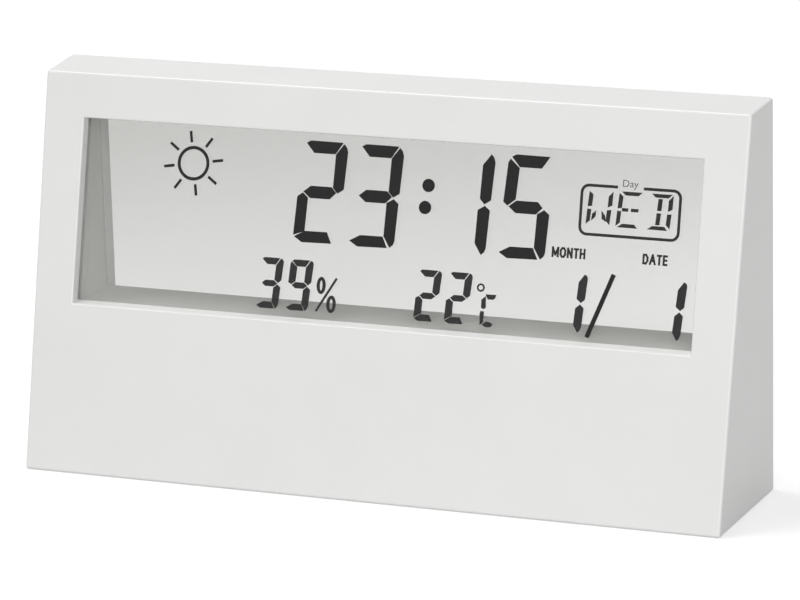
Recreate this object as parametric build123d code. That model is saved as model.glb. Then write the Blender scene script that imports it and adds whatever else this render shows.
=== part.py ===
from build123d import *
import math
import os

# A free-standing clock that also shows temperature and humidity: a drafted wedge case with a
# see-through display behind its leaning front. Lengths are in millimetres. The case stands on
# z = 0 with x = 0 in its middle, its front towards -Y and its rear rim at half its depth in +Y.
# On the leaning front a place is (x, s, depth): s goes up the slope from the front's foot, and
# depth goes into the case, square to the slope.

# Case
case_width = 130.0  # at the rear rim
case_depth = 28.0  # at the base
case_height = 69.0  # at the rear rim
top_depth = 11.0  # the top face, from its front edge to the rear rim
top_fall = 0.66  # how much lower the top face is at its front edge
side_draft = 2.0  # degrees, for each side
wall = 2.0
edge_radius = 0.45
rim_recess = 0.9  # how far the rear cover lies inside the rim
fit = 0.15  # round a piece that drops into another
overrun = 1.0  # how far a cut runs past the face that it opens
same_place = 0.01  # two values closer than this are one place

# Window in the leaning front
window_side = 8.12  # from each side of the case at the rear rim
window_foot = 29.85  # up the slope
window_head_margin = 7.9  # from the slope's upper end
window_foot_rise = 0.75  # how much higher its lower edge is behind the wall
window_head_rise = 0.25
window_edge_radius = 0.25

# Display, a sandwich of two glasses with a polarising film outside each
film = 0.2
glass = 1.1
film_margin = 0.6  # bare glass round a film
side_overlap = 3.0  # glass hidden at each side of the window
head_overlap = 2.3  # glass hidden above the window
foot_overlap = 1.65  # rear glass hidden below the window
contact_ledge = 3.6  # front glass below the rear glass

# Display frame, a flange behind the glass and a light tunnel to the rear window
tunnel_step = 0.25  # tunnel wider than the window on each side
tunnel_floor_step = 0.58  # floor lower than the window's lower edge
tunnel_roof_step = 0.35  # roof higher than the window's upper edge
tunnel_wall = 1.45
tunnel_set_back = 5.4  # from the rear rim
flange = 1.5
lip = 0.9
lip_gap = 0.3
lip_reach = 2.1  # the lips cover the edges of the glass by this
frame_foot_gap = 0.3  # the flange ends this far above the front glass's lower edge
strip_margin = 4.0  # from each end of the main board
strip_thickness = 2.2
strip_foot = 0.5  # above the front glass's lower edge
strip_block_wall = 1.5
strip_gap = 0.1
strip_block_gap = 0.2  # between the block and the board
ear_half_width = 2.6
ear_drop = 3.4  # from the flange's lower edge to an ear's screw
tongue_shares = (-0.385, -0.154, 0.154, 0.385)  # of the case's width
tongue_width = 8.0
tongue_height = 2.2
catch_thickness = 1.2
catch_margin = 1.0  # a catch is wider than its tongue by this on each side
catch_bite = 1.4
catch_gap = 0.1

# Rear cover and pane
cover = 1.8
cover_corner = 0.6
rear_window_step = 0.1  # rear window narrower than the tunnel on each side
rear_window_roof_step = 0.4
collar_wall = 1.2
collar_gap = 0.3  # between the tunnel and the collar
pane = 1.0
pane_sink = 0.2  # the pane lies this far below the cover's face
hook_shares = (-0.27, 0.0, 0.27)  # of the case's width
hook_width = 8.0
hook_thickness = 1.4
hook_gap = 0.3
hook_upstand = 1.2
hook_rib = 1.95
hook_rib_margin = 2.0
side_rib_shares = (0.29, 0.65, 0.84)  # of the case's height
side_rib = 1.2
side_rib_reach = 1.3

# Battery compartment for two size AAA cells, one above the other
cell_diameter = 10.3
cell_length = 44.5
cell_nub_diameter = 4.0
cell_nub_length = 1.0
cell_edge = 0.5
cell_pitch = 10.5
cell_slack = 0.15
cell_depth_slack = 0.35
well_wall = 1.2
well_frame_gap = 0.4  # between the compartment and the display frame, at least
well_side = 11.8  # from the side of the case at the rear rim
well_foot = 3.85
contact = 0.3
contact_size = 8.4
dimple_height = 0.6
dimple_foot_radius = 1.6
dimple_top_radius = 0.9
tab_width = 1.5
tab_length = 2.4  # beyond the end wall's inner face
tab_forward = 1.6  # from the cells' middle
tab_gap = 0.1
spring_length = 4.3
spring_turns = 3
spring_wire = 0.5
spring_foot_diameter = 7.0
spring_tip_diameter = 4.6
divider_width = 2.4
divider_height = 1.6
divider_set_in = 5.0  # from each end wall of the compartment

# Battery door
door = 1.5
door_side_lap = 1.1  # over each end wall of the compartment
door_top_gap = 0.25
door_corner = 0.5
tab_reach = 1.0  # how far a door tab goes behind the strip below the door
door_tab_width = 6.0
door_tab_thickness = 0.95
door_tab_root = 1.2
door_tab_inset = 8.0
door_tab_gap = 0.15
tongue_slot = 0.8
latch_width = 10.0
latch_length = 7.0
grip_ridges = 3
grip_ridge_height = 0.4
grip_ridge_width = 0.6
grip_ridge_pitch = 1.4
grip_ridge_inset = 1.5

# Screws and what they go into
case_screw_diameter = 2.0
case_screw_length = 8.0
case_screw_head = 4.2
case_screw_head_height = 1.6
case_screw_side = 6.7  # from the side of the case at the rear rim
case_screw_z = 7.0
case_boss_diameter = 6.0
cup_diameter = 6.4
cup_depth = 4.0
cup_floor = 1.2
cup_bore = 4.6
small_screw_diameter = 1.7
small_screw_head = 3.6
small_screw_head_height = 1.1
frame_screw_length = 4.1
board_screw_length = 5.0
post_diameter = 4.4
screw_slack = 0.05  # round a screw in its pilot hole
screw_clearance = 0.2  # round a screw in the piece that it holds
pilot_extra = 0.4  # a pilot hole is deeper than its screw by this
drive_diameter = 1.8
drive_depth = 0.6
drive_blade = 0.5

# Main board, parallel to the front; the shares are of its length, from its left end
board = 1.2
board_left_gap = 5.2  # from the battery compartment
board_right_gap = 11.0  # from the side of the case at the rear rim
board_foot = 8.5
board_head_margin = 0.4  # above the contact strip's block
board_gap = 2.7  # from the display's back to the board
board_post_shares = (0.135, 0.92)
board_post_s = (12.0, 20.6)
chip_share = 0.71
chip_s = 18.0
chip_radius_share = 0.105
chip_height_share = 0.3  # of its radius
crystal_share = 0.28
crystal_s = 16.0
crystal_diameter = 2.0
crystal_length = 6.0
capacitor_shares = (0.6, 0.78)
capacitor_s = 11.0
capacitor_diameter = 4.0
capacitor_length = 5.0
capacitor_edge = 0.3

# Buttons, in a row on the rear cover, each over a push switch on the button board
button_names = ("set", "mode", "up", "down", "unit")
button_first_share = 0.14  # of the main board's length
button_pitch_share = 0.162
button_z = 17.8
button_share = 0.62  # of the pitch
button_proud = 0.6
button_edge = 0.3
button_flange_share = 0.83
button_flange = 1.0
button_stem = 1.0
button_travel = 0.5
plunger_share = 0.4
plunger_clearance = 0.1
plunger_length = 2.0
plunger_proud = 1.2
plunger_room = 0.1  # below a plunger that is pushed all the way
switch_share = 0.71
switch_height = 3.5
switch_corner = 0.4

# Button board, parallel to the rear cover
button_board_left_gap = 2.5  # from the main board's left end
button_board_right_gap = 0.5  # from its right end
button_board_foot = 4.4
button_board_head = 24.0
button_post_diameter = 4.6
button_post_shares = (0.12, 0.46, 0.935)
button_post_z = (8.6, 8.6, 17.8)
ribbon_share = 0.154  # its width, of the main board's length
ribbon_place_share = 0.46
ribbon_thickness = 0.6
ribbon_foot = 11.6
ribbon_head = 20.4
ribbon_bend = 1.1

# Vents with the sensors behind them
vent_count = 7
vent_width = 1.2
vent_height = 6.0
vent_pitch_share = 0.05  # of the main board's length
vent_middle_share = 0.708
vent_z = 8.0
humidity_place_share = 0.644
humidity_share = 0.135
humidity_height = 7.5
humidity_depth = 3.2
humidity_slots = 3
humidity_slot = 0.8
humidity_slot_depth = 0.8
humidity_slot_share = 0.7  # of its width
thermistor_share = 0.8
bead_diameter = 2.2
bead_stand_off = 2.6
bead_leg_diameter = 0.5
bead_leg_spread = 1.2

# Sounder disc on the inside of the leaning front, and the leads
sounder_side = 35.0  # from the side of the case at the rear rim
sounder_s = 13.4
sounder_diameter = 20.0
sounder_plate_thickness = 0.25
ceramic_diameter = 14.0
ceramic_thickness = 0.2
sounder_rib = 0.8
sounder_rib_height = 1.2
lead_diameter = 1.0
lead_bend = 1.6
lead_inset = 1.2  # from the main board's left end
sounder_lead_diameter = 0.8
sounder_lead_bend = 1.3
sounder_lead_offset = 4.0  # from the sounder's middle
sounder_lead_spread = 3.0
sounder_lead_share = 0.04  # of the main board's length
sounder_lead_gap = 2.2  # from the ceramic to the leads' long run

# Places that follow from the sizes above
front_foot_y = -case_depth / 2
rear_rim_y = case_depth / 2
front_head_z = case_height - top_fall
lean = math.atan2(case_depth - top_depth, front_head_z)
top_tilt = math.atan2(top_fall, top_depth)
front_plane = Plane(
    origin=(0, front_foot_y, 0),
    x_dir=(1, 0, 0),
    z_dir=(0, -math.cos(lean), math.sin(lean)),
)
front = front_plane.location
slope_length = math.hypot(case_depth - top_depth, front_head_z)
window_head = slope_length - window_head_margin
window_width = case_width - 2 * window_side
display_width = window_width + 2 * side_overlap
front_glass_depth = wall + film
rear_glass_depth = front_glass_depth + glass
display_back = rear_glass_depth + glass + film
rear_glass_foot = window_foot - foot_overlap
front_glass_foot = rear_glass_foot - contact_ledge
display_head = window_head + head_overlap
display_half = display_width / 2
tunnel_half = window_width / 2 + tunnel_step
tunnel_floor = window_foot * math.cos(lean) - tunnel_floor_step
tunnel_roof = window_head * math.cos(lean) + tunnel_roof_step
tunnel_rear_y = rear_rim_y - tunnel_set_back
flange_half = display_half + lip_gap + lip
flange_foot = front_glass_foot + frame_foot_gap
flange_head = display_head + lip_gap + lip
flange_back = display_back + flange
well_left = well_side - case_width / 2
well_length = cell_length + 2 * contact + dimple_height + spring_length
well_right = well_left + well_length
case_screw_x = case_width / 2 - case_screw_side
board_left = well_right + board_left_gap
board_right = case_width / 2 - board_right_gap
board_length = board_right - board_left
strip_span = (board_left + strip_margin, board_right - strip_margin)
strip_s = front_glass_foot + strip_foot
board_front = display_back + board_gap
board_back = board_front + board
board_head = rear_glass_foot + board_head_margin
ear_s = flange_foot - ear_drop
ear_x = (-case_screw_x + ear_half_width, well_right - well_wall, flange_half - lip - ear_half_width)
tongue_x = [case_width * share for share in tongue_shares]
hook_x = [case_width * share for share in hook_shares]
side_rib_z = [case_height * share for share in side_rib_shares]
board_post_x = [board_left + board_length * share for share in board_post_shares]
chip_x = board_left + board_length * chip_share
chip_radius = board_length * chip_radius_share
chip_height = chip_radius * chip_height_share
crystal_x = board_left + board_length * crystal_share
capacitor_x = [board_left + board_length * share for share in capacitor_shares]
cover_face_y = rear_rim_y - rim_recess
cover_inner_y = cover_face_y - cover
rear_window_half = tunnel_half - rear_window_step
rear_window_floor = tunnel_floor - tunnel_wall
rear_window_roof = tunnel_roof + rear_window_roof_step
collar_front_y = tunnel_rear_y + collar_gap
pane_face_y = cover_face_y - pane_sink
pane_seat_y = pane_face_y - pane
door_inner_y = cover_face_y - door
cell_y = door_inner_y - cell_depth_slack - cell_diameter / 2
well_back_y = cell_y - cell_diameter / 2 - cell_depth_slack
lower_cell_z = well_foot + cell_slack + cell_diameter / 2
upper_cell_z = lower_cell_z + cell_pitch
well_head = upper_cell_z + cell_diameter / 2 + cell_slack
door_left = well_left - door_side_lap
door_right = well_right + door_side_lap
door_foot = well_foot + fit
door_head = well_head - door_top_gap
cup_front_y = cover_inner_y - cup_depth
cup_seat_y = cup_front_y + cup_floor
button_flange_y = cover_inner_y - button_flange
button_stem_y = button_flange_y - button_stem
switch_top_y = button_stem_y - plunger_proud
button_board_back_y = switch_top_y - switch_height
button_board_front_y = button_board_back_y - board
button_pitch = board_length * button_pitch_share
button_first_x = board_left + board_length * button_first_share
button_x = [button_first_x + button_pitch * place for place in range(len(button_names))]
button_diameter = button_pitch * button_share
button_flange_diameter = button_pitch * button_flange_share
plunger_diameter = button_pitch * plunger_share
switch_size = button_pitch * switch_share
button_board_left = board_left + button_board_left_gap
button_board_right = board_right - button_board_right_gap
button_post_x = [board_left + board_length * share for share in button_post_shares]
button_posts = list(zip(button_post_x, button_post_z))
ribbon_width = board_length * ribbon_share
ribbon_x = board_left + board_length * ribbon_place_share
vent_pitch = board_length * vent_pitch_share
vent_middle_x = board_left + board_length * vent_middle_share
humidity_x = board_left + board_length * humidity_place_share
humidity_width = board_length * humidity_share
humidity_slot_length = humidity_width * humidity_slot_share
thermistor_x = board_left + board_length * thermistor_share
sounder_x = sounder_side - case_width / 2
lead_board_x = board_left + lead_inset
sounder_lead_x = sounder_x + sounder_lead_offset
sounder_lead_board_x = board_left + board_length * sounder_lead_share


def half_width_at(y):
    """Half the width of the case at a depth: the sides draw in towards the front."""
    return case_width / 2 - (rear_rim_y - y) * math.tan(math.radians(side_draft))


def inner_half_width_at(y):
    return half_width_at(y) - wall / math.cos(math.radians(side_draft))


def top_at(y):
    return case_height - (rear_rim_y - y) * math.tan(top_tilt)


def inner_top_at(y):
    return top_at(y) - wall / math.cos(top_tilt)


def slope_y(z, depth):
    """The y of the plane that lies a depth behind the leaning front, at a height."""
    return front_foot_y + z * math.tan(lean) + depth / math.cos(lean)


def block(x, y, z, frame=Location()):
    """A box from a low to a high value along each axis of a frame."""
    size = [high - low for low, high in (x, y, z)]
    middle = [(high + low) / 2 for low, high in (x, y, z)]
    return frame * Pos(*middle) * Box(*size)


def front_block(x, s, depth):
    """A box that leans with the front."""
    return block(x, s, (-depth[1], -depth[0]), front)


def front_rod(radius, x, s, depth):
    """A cylinder square to the leaning front, from one depth to another."""
    length = depth[1] - depth[0]
    middle = (depth[0] + depth[1]) / 2
    return front * Pos(x, s, -middle) * Cylinder(radius, length)


def rod_y(radius, x, z, y):
    """A cylinder along Y."""
    length = y[1] - y[0]
    return Pos(x, (y[0] + y[1]) / 2, z) * Rot(X=-90) * Cylinder(radius, length)


def rod_x(radius, y, z, x):
    """A cylinder along X."""
    length = x[1] - x[0]
    return Pos((x[0] + x[1]) / 2, y, z) * Rot(Y=90) * Cylinder(radius, length)


def around(middle, half):
    return (middle - half, middle + half)


def wedge(rear_y, inset):
    """The case's outer form with its rear at rear_y, brought in by inset on the other sides."""
    fall = math.tan(top_tilt)
    foot_y = slope_y(inset, inset)
    drop = inset / math.cos(top_tilt)
    head_z = (top_at(slope_y(0, inset)) - drop) / (1 - fall * math.tan(lean))
    side = make_face(
        Plane.YZ
        * Polyline(
            (foot_y, inset),
            (rear_y, inset),
            (rear_y, top_at(rear_y) - drop),
            (slope_y(head_z, inset), head_z),
            close=True,
        )
    )
    draw_in = inset / math.cos(math.radians(side_draft))
    front_half = half_width_at(front_foot_y) - draw_in
    rear_half = half_width_at(rear_y) - draw_in
    plan = make_face(
        Polyline(
            (-front_half, front_foot_y),
            (front_half, front_foot_y),
            (rear_half, rear_y),
            (-rear_half, rear_y),
            close=True,
        )
    )
    return extrude(side, case_width, both=True) & extrude(plan, 2 * case_height, both=True)


def room(inset):
    """The space inside the case, open past its rear rim."""
    return wedge(rear_rim_y + inset + overrun, inset)


def window_cut():
    """The window through the front wall: its lower and upper edges rise a little on the way in."""
    sections = []
    for depth in (-overrun, wall + overrun):
        foot = window_foot + window_foot_rise * depth / wall
        head = window_head + window_head_rise * depth / wall
        place = front * Pos(0, (foot + head) / 2, -depth)
        sections.append(place * Rectangle(window_width, head - foot))
    return loft(sections)


def window_edges(shell):
    """The edges of the window on the outer face of the front."""
    found = []
    for edge in shell.edges():
        place = front_plane.to_local_coords(edge.center())
        inside = abs(place.X) < window_width / 2 + same_place
        level = window_foot - same_place < place.Y < window_head + same_place
        if inside and level and abs(place.Z) < same_place:
            found.append(edge)
    return found


def pilot(x, s, post_top, screw_reach):
    radius = small_screw_diameter / 2 + screw_slack
    return front_rod(radius, x, s, (post_top - screw_reach - pilot_extra, post_top + overrun))


def front_posts():
    """Posts for the display frame and the main board, square to the front, and their holes."""
    posts = []
    holes = []
    for x in ear_x:
        posts.append(front_rod(post_diameter / 2, x, ear_s, (wall / 2, display_back)))
        holes.append(pilot(x, ear_s, display_back, frame_screw_length - flange))
    for x in board_post_x:
        for s in board_post_s:
            posts.append(front_rod(post_diameter / 2, x, s, (wall / 2, board_front)))
            holes.append(pilot(x, s, board_front, board_screw_length - board))
    return posts, holes


def case_bosses(inside):
    """Long bosses for the case screws, each webbed to its side wall and to the base."""
    bosses = []
    holes = []
    start_y = slope_y(case_screw_z, wall / 2)
    boss_y = (start_y, cup_front_y)
    for side in (-1, 1):
        x = side * case_screw_x
        web_x = sorted((x, side * case_width / 2))
        side_web = block(web_x, boss_y, around(case_screw_z, side_rib / 2))
        base_web = block(around(x, side_rib / 2), boss_y, (0, case_screw_z))
        bosses.append(rod_y(case_boss_diameter / 2, x, case_screw_z, boss_y))
        bosses.append(side_web & inside)
        bosses.append(base_web & inside)
        hole = case_screw_diameter / 2 + screw_slack
        hole_end = cup_seat_y - case_screw_length - pilot_extra
        holes.append(rod_y(hole, x, case_screw_z, (hole_end, cup_front_y + overrun)))
    return bosses, holes


def cover_ribs(inside):
    """Ribs on the side walls that the rear cover seats on."""
    ribs = []
    inner = inner_half_width_at(cover_inner_y) - side_rib_reach
    for side in (-1, 1):
        rib_x = sorted((side * inner, side * case_width / 2))
        for z in side_rib_z:
            rib = block(rib_x, (front_foot_y, cover_inner_y), around(z, side_rib / 2))
            ribs.append(rib & inside)
    return ribs


def roof_catches(inside):
    """Catches under the roof for the display frame's tongues and for the cover's hooks."""
    catches = []
    for x in tongue_x:
        reach = tongue_width / 2 + catch_margin
        catch_s = (flange_head + tongue_height - catch_bite, flange_head + case_depth / 2)
        catch_depth = (flange_back + catch_gap, flange_back + catch_gap + catch_thickness)
        catches.append(front_block(around(x, reach), catch_s, catch_depth) & inside)
    for x in hook_x:
        rib_y = (cover_inner_y - hook_rib, cover_inner_y)
        rib_z = (hook_arm_top() + hook_gap, case_height)
        rib = block(around(x, hook_width / 2 + hook_rib_margin), rib_y, rib_z)
        catches.append(rib & inside)
    return catches


def sounder_ring():
    """The low ring that the sounder disc is stuck to."""
    ring = front_rod(sounder_diameter / 2, sounder_x, sounder_s, (wall / 2, wall + sounder_rib_height))
    bore_depth = (0, wall + sounder_rib_height + overrun)
    return ring - front_rod(sounder_diameter / 2 - sounder_rib, sounder_x, sounder_s, bore_depth)


def front_case():
    """The one white moulding with the front, top, sides and base, open at the rear."""
    shell = wedge(rear_rim_y, 0)
    shell = fillet(shell.edges(), edge_radius)
    shell = shell - [room(wall), window_cut()]
    inside = room(wall / 2)
    posts, post_holes = front_posts()
    bosses, boss_holes = case_bosses(inside)
    added = posts + bosses + cover_ribs(inside) + roof_catches(inside) + [sounder_ring()]
    shell = (shell + added) - (post_holes + boss_holes)
    return fillet(window_edges(shell), window_edge_radius)


def front_polariser():
    span = around(0, display_half - film_margin)
    level = (rear_glass_foot + film_margin, display_head - film_margin)
    return front_block(span, level, (wall, front_glass_depth))


def front_glass():
    """The longer glass: the contacts are on its ledge below the rear glass."""
    level = (front_glass_foot, display_head)
    return front_block(around(0, display_half), level, (front_glass_depth, rear_glass_depth))


def rear_glass():
    level = (rear_glass_foot, display_head)
    depth = (rear_glass_depth, rear_glass_depth + glass)
    return front_block(around(0, display_half), level, depth)


def rear_polariser():
    span = around(0, display_half - film_margin)
    level = (rear_glass_foot + film_margin, display_head - film_margin)
    return front_block(span, level, (display_back - film, display_back))


def tunnel():
    """The walls from the display to the rear window, cut off square to the display in front."""
    outer = block(
        around(0, tunnel_half + tunnel_wall),
        (front_foot_y, tunnel_rear_y),
        (tunnel_floor - tunnel_wall, tunnel_roof + tunnel_wall),
    )
    ahead_depth = (-case_depth, display_back)
    return outer - front_block(around(0, case_width), (0, 2 * case_height), ahead_depth)


def display_frame():
    """The flange behind the glass, its lips, the light tunnel, the strip block and the ears."""
    wide = around(0, flange_half)
    flange_depth = (display_back, flange_back)
    frame = [front_block(wide, (flange_foot, flange_head), flange_depth), tunnel()]
    # Lips round the sides and the head of the glass
    lip_depth = (display_back - lip_reach, display_back)
    for side in (-1, 1):
        lip_x = sorted((side * flange_half, side * (flange_half - lip)))
        frame.append(front_block(lip_x, (rear_glass_foot, flange_head), lip_depth))
    frame.append(front_block(wide, (flange_head - lip, flange_head), lip_depth))
    # Block that holds the contact strip between the glass and the board
    block_x = (strip_span[0] - strip_block_wall, strip_span[1] + strip_block_wall)
    block_s = (strip_s - strip_block_wall, rear_glass_foot - strip_block_gap)
    block_depth = (rear_glass_depth + strip_block_gap, board_front - strip_block_gap)
    frame.append(front_block(block_x, block_s, block_depth))
    slot_x = (strip_span[0] - strip_gap, strip_span[1] + strip_gap)
    slot_s = (strip_s - strip_gap, strip_s + strip_thickness + strip_gap)
    holes = [front_block(slot_x, slot_s, (0, board_front))]
    # Ears with screw holes below, tongues above
    ear_hole = small_screw_diameter / 2 + screw_clearance
    for x in ear_x:
        ear_level = (ear_s, flange_foot + flange)
        frame.append(front_block(around(x, ear_half_width), ear_level, flange_depth))
        frame.append(front_rod(ear_half_width, x, ear_s, flange_depth))
        hole_depth = (display_back - overrun, flange_back + overrun)
        holes.append(front_rod(ear_hole, x, ear_s, hole_depth))
    for x in tongue_x:
        tongue_s = (flange_head - lip, flange_head + tongue_height)
        frame.append(front_block(around(x, tongue_width / 2), tongue_s, flange_depth))
    bore_y = (front_foot_y, rear_rim_y)
    holes.append(block(around(0, tunnel_half), bore_y, (tunnel_floor, tunnel_roof)))
    return frame[0] + frame[1:] - holes


def contact_strip():
    """The elastomer strip that joins the glass's contacts to the board's."""
    level = (strip_s, strip_s + strip_thickness)
    return front_block(strip_span, level, (rear_glass_depth, board_front))


def hook_arm_top():
    return rear_window_roof + collar_wall + hook_gap + hook_thickness


def cover_plate():
    half = inner_half_width_at(cover_inner_y) - fit
    plate_z = (wall + fit, inner_top_at(cover_inner_y) - fit)
    plate = block(around(0, half), (cover_inner_y, cover_face_y), plate_z)
    return fillet(plate.edges().filter_by(Axis.Y), cover_corner)


def collar():
    """The rim round the rear window that meets the tunnel; the pane seats on its end."""
    outer_x = around(0, rear_window_half + collar_wall)
    outer_z = (rear_window_floor - collar_wall, rear_window_roof + collar_wall)
    bore_z = (rear_window_floor, rear_window_roof)
    outer = block(outer_x, (collar_front_y, cover_inner_y + cover / 2), outer_z)
    bore = block(around(0, rear_window_half), (front_foot_y, rear_rim_y), bore_z)
    rebate = block(outer_x, (pane_seat_y, rear_rim_y), outer_z)
    return [outer], [bore, rebate]


def battery_well():
    """The compartment's tub, the room inside it, the seat of the door and the slots for tabs."""
    tub = block(
        (well_left - well_wall, well_right + well_wall),
        (well_back_y - well_wall, cover_inner_y + cover / 2),
        (well_foot - well_wall, rear_window_floor - collar_wall),
    )
    well_x = (well_left, well_right)
    well_z = (well_foot, well_head)
    seat_x = (door_left - fit, door_right + fit)
    frame_room = (display_back, flange_back + well_frame_gap)
    frame_s = (flange_foot - well_frame_gap, flange_head)
    holes = [
        block(well_x, (well_back_y, rear_rim_y), well_z),
        block(seat_x, (door_inner_y, rear_rim_y), well_z),
        front_block(around(0, flange_half), frame_s, frame_room),
    ]
    slot_y = (door_tab_back_y() - door_tab_thickness - tongue_slot, cover_inner_y)
    for low, high in door_tab_x():
        holes.append(block((low - fit, high + fit), slot_y, (0, well_foot + overrun)))
    tab_y = around(cell_y - tab_forward, contact / 2 + tab_gap)
    tab_x = (well_right - overrun, well_right + well_wall + overrun)
    for z in (lower_cell_z, upper_cell_z):
        holes.append(block(tab_x, tab_y, around(z, tab_width / 2 + tab_gap)))
    return [tub], holes


def cell_divider():
    """The low ridge between the two cells, hollowed to their round sides."""
    ridge = block(
        (well_left + divider_set_in, well_right - divider_set_in),
        (well_back_y - well_wall / 2, well_back_y + divider_height),
        around((lower_cell_z + upper_cell_z) / 2, divider_width / 2),
    )
    cell_room = cell_diameter / 2 + cell_slack
    room_x = (well_left - overrun, well_right + overrun)
    return ridge - [rod_x(cell_room, cell_y, z, room_x) for z in (lower_cell_z, upper_cell_z)]


def cover_hooks():
    hooks = []
    arm_z = (hook_arm_top() - hook_thickness, hook_arm_top())
    tip_y = cover_inner_y - hook_rib - hook_gap / 2 - hook_thickness
    tip_z = (hook_arm_top() - hook_thickness, hook_arm_top() + hook_upstand)
    for x in hook_x:
        span = around(x, hook_width / 2)
        hooks.append(block(span, (tip_y, cover_inner_y + cover / 2), arm_z))
        hooks.append(block(span, (tip_y, tip_y + hook_thickness), tip_z))
    return hooks


def door_tab_x():
    middles = (door_left + door_tab_inset, door_right - door_tab_inset)
    return [around(middle, door_tab_width / 2) for middle in middles]


def screw_cups():
    """Counterbored cups for the case screws."""
    cups = []
    holes = []
    hole = case_screw_diameter / 2 + screw_clearance
    for side in (-1, 1):
        x = side * case_screw_x
        cup_y = (cup_front_y, cover_inner_y + cover / 2)
        cups.append(rod_y(cup_diameter / 2, x, case_screw_z, cup_y))
        holes.append(rod_y(cup_bore / 2, x, case_screw_z, (cup_seat_y, rear_rim_y)))
        holes.append(rod_y(hole, x, case_screw_z, (cup_front_y - overrun, rear_rim_y)))
    return cups, holes


def board_posts():
    """Posts behind the cover that carry the button board."""
    posts = []
    holes = []
    hole = small_screw_diameter / 2 + screw_slack
    hole_end = button_board_front_y + board_screw_length + pilot_extra
    for x, z in button_posts:
        post_y = (button_board_back_y, cover_inner_y + cover / 2)
        posts.append(rod_y(button_post_diameter / 2, x, z, post_y))
        holes.append(rod_y(hole, x, z, (button_board_back_y - overrun, hole_end)))
    return posts, holes


def cover_openings():
    """The round holes for the buttons and the upright vent slots."""
    openings = []
    hole_y = (cover_inner_y - overrun, rear_rim_y)
    for x in button_x:
        openings.append(rod_y(button_diameter / 2 + fit, x, button_z, hole_y))
    vent = SlotOverall(vent_height, vent_width, rotation=90)
    for place in range(vent_count):
        x = vent_middle_x + vent_pitch * (place - (vent_count - 1) / 2)
        start = Plane.XZ.offset(-rear_rim_y)
        openings.append(extrude(start * Pos(x, vent_z) * vent, cover + overrun + rim_recess))
    return openings


def rear_case():
    """The inset rear cover with its window collar, battery compartment, cups, posts and vents."""
    added = cover_hooks()
    holes = cover_openings()
    for more, cuts in (collar(), battery_well(), screw_cups(), board_posts()):
        added += more
        holes += cuts
    return cover_plate() + added - holes + cell_divider()


def rear_pane():
    """The clear pane that drops into the rebate of the rear window from outside."""
    half = rear_window_half + collar_wall - fit
    pane_z = (rear_window_floor - collar_wall + fit, rear_window_roof + collar_wall - fit)
    return block(around(0, half), (pane_seat_y, pane_face_y), pane_z)


def door_tab_back_y():
    """The face of a door tab that lies behind the strip under the door."""
    return cover_inner_y - door_tab_gap


def battery_door():
    """The flush door: two tabs under its lower edge and a sprung latch tongue at its top."""
    plate = block((door_left, door_right), (door_inner_y, cover_face_y), (door_foot, door_head))
    plate = fillet(plate.edges().filter_by(Axis.Y), door_corner)
    tab_y = (door_tab_back_y() - door_tab_thickness, door_tab_back_y())
    for tab_x in door_tab_x():
        root_z = (door_foot + fit, door_foot + fit + door_tab_root)
        plate += block(tab_x, (tab_y[0], door_inner_y), root_z)
        plate += block(tab_x, tab_y, (door_foot - tab_reach, root_z[1]))
    # Tongue between two slots, with ridges for the finger
    middle = (door_left + door_right) / 2
    slot_z = (door_head - latch_length, door_head + overrun)
    for side in (-1, 1):
        slot_x = around(middle + side * latch_width / 2, tongue_slot / 2)
        plate -= block(slot_x, (door_inner_y - overrun, rear_rim_y), slot_z)
    ridge_x = around(middle, latch_width / 2 - grip_ridge_inset)
    for place in range(grip_ridges):
        z = door_head - grip_ridge_inset - grip_ridge_pitch * place
        ridge_y = (cover_face_y - door / 2, cover_face_y + grip_ridge_height)
        plate += block(ridge_x, ridge_y, around(z, grip_ridge_width / 2))
    return plate


def cell(z, nub_side):
    """A size AAA cell along X with its nub towards nub_side."""
    if nub_side > 0:
        tip = well_right - contact - dimple_height
    else:
        tip = well_left + contact + dimple_height
    shoulder = tip - nub_side * cell_nub_length
    base = tip - nub_side * cell_length
    can = rod_x(cell_diameter / 2, cell_y, z, sorted((base, shoulder)))
    can = chamfer(can.edges().filter_by(GeomType.CIRCLE), cell_edge)
    return can + rod_x(cell_nub_diameter / 2, cell_y, z, sorted((tip, shoulder - nub_side * cell_edge)))


def contact_plate(end_x, inward, low_z, high_z):
    """A plate on an end wall; inward is the direction into the compartment."""
    plate_x = sorted((end_x, end_x + inward * contact))
    plate_z = (low_z - contact_size / 2, high_z + contact_size / 2)
    return block(plate_x, around(cell_y, contact_size / 2), plate_z)


def dimple(end_x, inward, z):
    face = end_x + inward * contact
    turn = Rot(Y=90 * inward)
    cone = Cone(dimple_foot_radius, dimple_top_radius, dimple_height)
    return Pos(face + inward * dimple_height / 2, cell_y, z) * turn * cone


def solder_tab(z):
    tab_x = (well_right - contact, well_right + tab_length)
    tab_y = around(cell_y - tab_forward, contact / 2)
    return block(tab_x, tab_y, around(z, tab_width / 2))


def series_contact():
    plate = contact_plate(well_left, 1, lower_cell_z, upper_cell_z)
    return plate + dimple(well_left, 1, lower_cell_z)


def positive_contact():
    plate = contact_plate(well_right, -1, upper_cell_z, upper_cell_z)
    return plate + dimple(well_right, -1, upper_cell_z) + solder_tab(upper_cell_z)


def negative_contact():
    plate = contact_plate(well_right, -1, lower_cell_z, lower_cell_z)
    return plate + solder_tab(lower_cell_z)


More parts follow.
